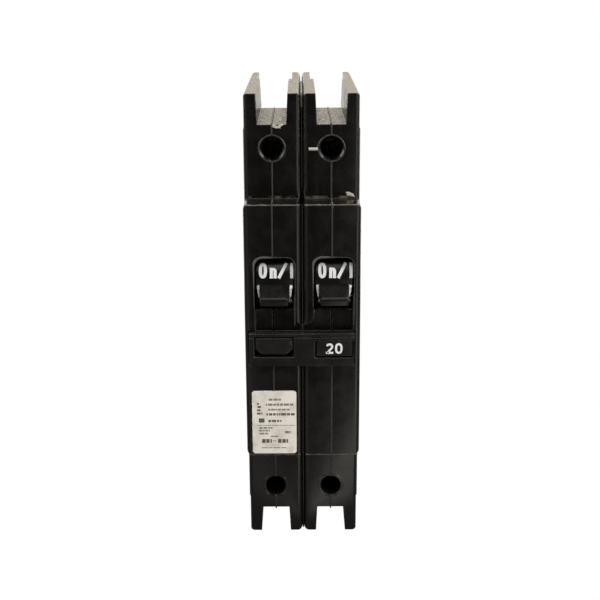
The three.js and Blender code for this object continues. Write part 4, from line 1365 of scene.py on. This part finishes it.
@dataclass(frozen=True)
class FloorGlow(Glow):
    """The floor's light: bright close in front, dark farther out, bright at the sides and behind."""

    strength: float = 0.18
    far_strength: float = 0.02
    fade_from: float = 0.045
    fade_to: float = 0.21
    wedge_left: float = 0.45
    wedge_right: float = 1.4
    wedge_start: float = math.radians(11)
    wedge_end: float = math.radians(42)
    edge_in: float = 0.09
    edge_out: float = 0.25
    side: float = 0.10
    behind: float = 1.9
    behind_from: float = 0.22
    behind_fade: float = 0.1

    def pattern(self, sketch: NodeSketch) -> Socket:
        """Strength by the distance in front of the breaker and by the angle to its left or right."""
        place = sketch.add("NewGeometry").outputs["Position"]
        across, along = sketch.split(place, "X"), sketch.split(place, "Y")
        ahead = sketch.maths("ADD", sketch.times(along, -1.0), FRONT)
        close = sketch.stepped(ahead, self.fade_from, self.fade_to, self.strength, self.far_strength)
        angle = sketch.maths("ARCTAN2", sketch.maths("ABSOLUTE", across, 0.0), ahead)
        begun = sketch.stepped(angle, self.wedge_start, self.wedge_start + self.edge_in, 0, 1)
        ended = sketch.stepped(angle, self.wedge_end, self.wedge_end + self.edge_out, 1, 0)
        hand = sketch.stepped(across, -0.01, 0.01, self.wedge_left, self.wedge_right)
        front = sketch.maths("MAXIMUM", close, sketch.times(begun, ended, hand))
        side = sketch.stepped(angle, self.wedge_end, self.wedge_end + self.edge_out, 0, self.side)
        back = sketch.stepped(along, self.behind_from, self.behind_from + self.behind_fade, 0, self.behind)
        return sketch.maths("MAXIMUM", front, sketch.maths("MAXIMUM", side, back))


@dataclass
class Studio:
    """Pale floor and backdrop, soft lights and the camera."""

    lens: float = 66.97
    pitch: float = 16.53
    roll: float = -0.31
    camera_x: float = -0.8 * MM
    camera_back: float = 349.9 * MM
    camera_z: float = 193.1 * MM
    surround: float = 0.012

    def build(self) -> None:
        """Makes the stage and the camera."""
        self.camera()
        self.world()
        self.floor()
        self.lamps()
        bpy.context.scene.view_settings.view_transform = "Standard"

    def camera(self) -> None:
        """The camera in front of and above the breaker, tilted down."""
        data = bpy.data.cameras.new("camera")
        data.lens = self.lens
        data.sensor_width = 36
        data.clip_start = 0.01
        eye = placed("camera", data)
        place = Matrix.Translation((self.camera_x, FRONT - self.camera_back, self.camera_z))
        tilt = Matrix.Rotation(math.radians(90 - self.pitch), 4, "X")
        eye.matrix_world = place @ tilt @ Matrix.Rotation(math.radians(self.roll), 4, "Z")
        bpy.context.scene.camera = eye

    def world(self) -> None:
        """A white surround for the eye that lights the breaker only dimly."""
        world = bpy.data.worlds.new("surround")
        world.use_nodes = True
        bpy.context.scene.world = world
        tree = world.node_tree
        tree.nodes.clear()
        output = tree.nodes.new("ShaderNodeOutputWorld")
        mix = tree.nodes.new("ShaderNodeMixShader")
        rays = tree.nodes.new("ShaderNodeLightPath")
        dim = tree.nodes.new("ShaderNodeBackground")
        dim.inputs["Color"].default_value = (self.surround, self.surround, self.surround, 1)
        bright = tree.nodes.new("ShaderNodeBackground")
        bright.inputs["Color"].default_value = (1, 1, 1, 1)
        tree.links.new(rays.outputs["Is Camera Ray"], mix.inputs["Fac"])
        tree.links.new(dim.outputs["Background"], mix.inputs[1])
        tree.links.new(bright.outputs["Background"], mix.inputs[2])
        tree.links.new(mix.outputs["Shader"], output.inputs["Surface"])

    def sheet(self, name: str, corners: list[Triple], glow: Glow) -> None:
        """A flat sheet that is white to the eye and glows by its own pattern in reflections."""
        data = bpy.data.meshes.new(name)
        data.from_pydata(corners, [], [(0, 1, 2, 3)])
        sheet = placed(name, data)
        data.materials.append(glow.build(f"{name}_white"))

    def floor(self) -> None:
        """The floor, and a backdrop far behind it."""
        far, below, back, high = 2.0, -0.02 * MM, 0.9, 1.2
        floor = [(-far, -far, below), (far, -far, below), (far, far, below), (-far, far, below)]
        backdrop = [(-far, back, 0), (far, back, 0), (far, back, high), (-far, back, high)]
        self.sheet("floor", floor, FloorGlow())
        self.sheet("backdrop", backdrop, Glow(1.2))

    def lamp(self, name: str, place: Triple, size: tuple[float, float], power: float) -> None:
        """A soft rectangular lamp that faces the middle of the breaker."""
        data = bpy.data.lights.new(name, "AREA")
        data.shape = "RECTANGLE"
        data.size, data.size_y = size
        data.energy = power
        lamp = placed(name, data)
        lamp.location = place
        towards = Matrix.Translation((0, 0, 0.08)).translation - lamp.location
        lamp.rotation_euler = towards.to_track_quat("-Z", "Y").to_euler()

    def lamps(self) -> None:
        """A large soft box above the eye, one at each side, the right one stronger, and one above."""
        self.lamp("front_box", (-0.10, -0.75, 0.85), (0.7, 0.5), 2.8)
        self.lamp("right_box", (0.60, -0.25, 0.35), (0.25, 0.45), 4.0)
        self.lamp("left_box", (-0.60, -0.20, 0.35), (0.25, 0.45), 2.5)
        self.lamp("top_box", (0.02, 0.10, 0.75), (0.5, 0.4), 3.0)


def main() -> None:
    """Builds the stage and every sub-assembly."""
    logging.basicConfig(level=logging.INFO, format="%(name)s: %(message)s")
    Studio().build()
    shop = Paintshop()
    for assembly in (CaseShells, HandleSet, FrontStrip, FrontLabel, Terminals, InnerWorks):
        assembly(shop).build()


if __name__ == "__main__":
    main()
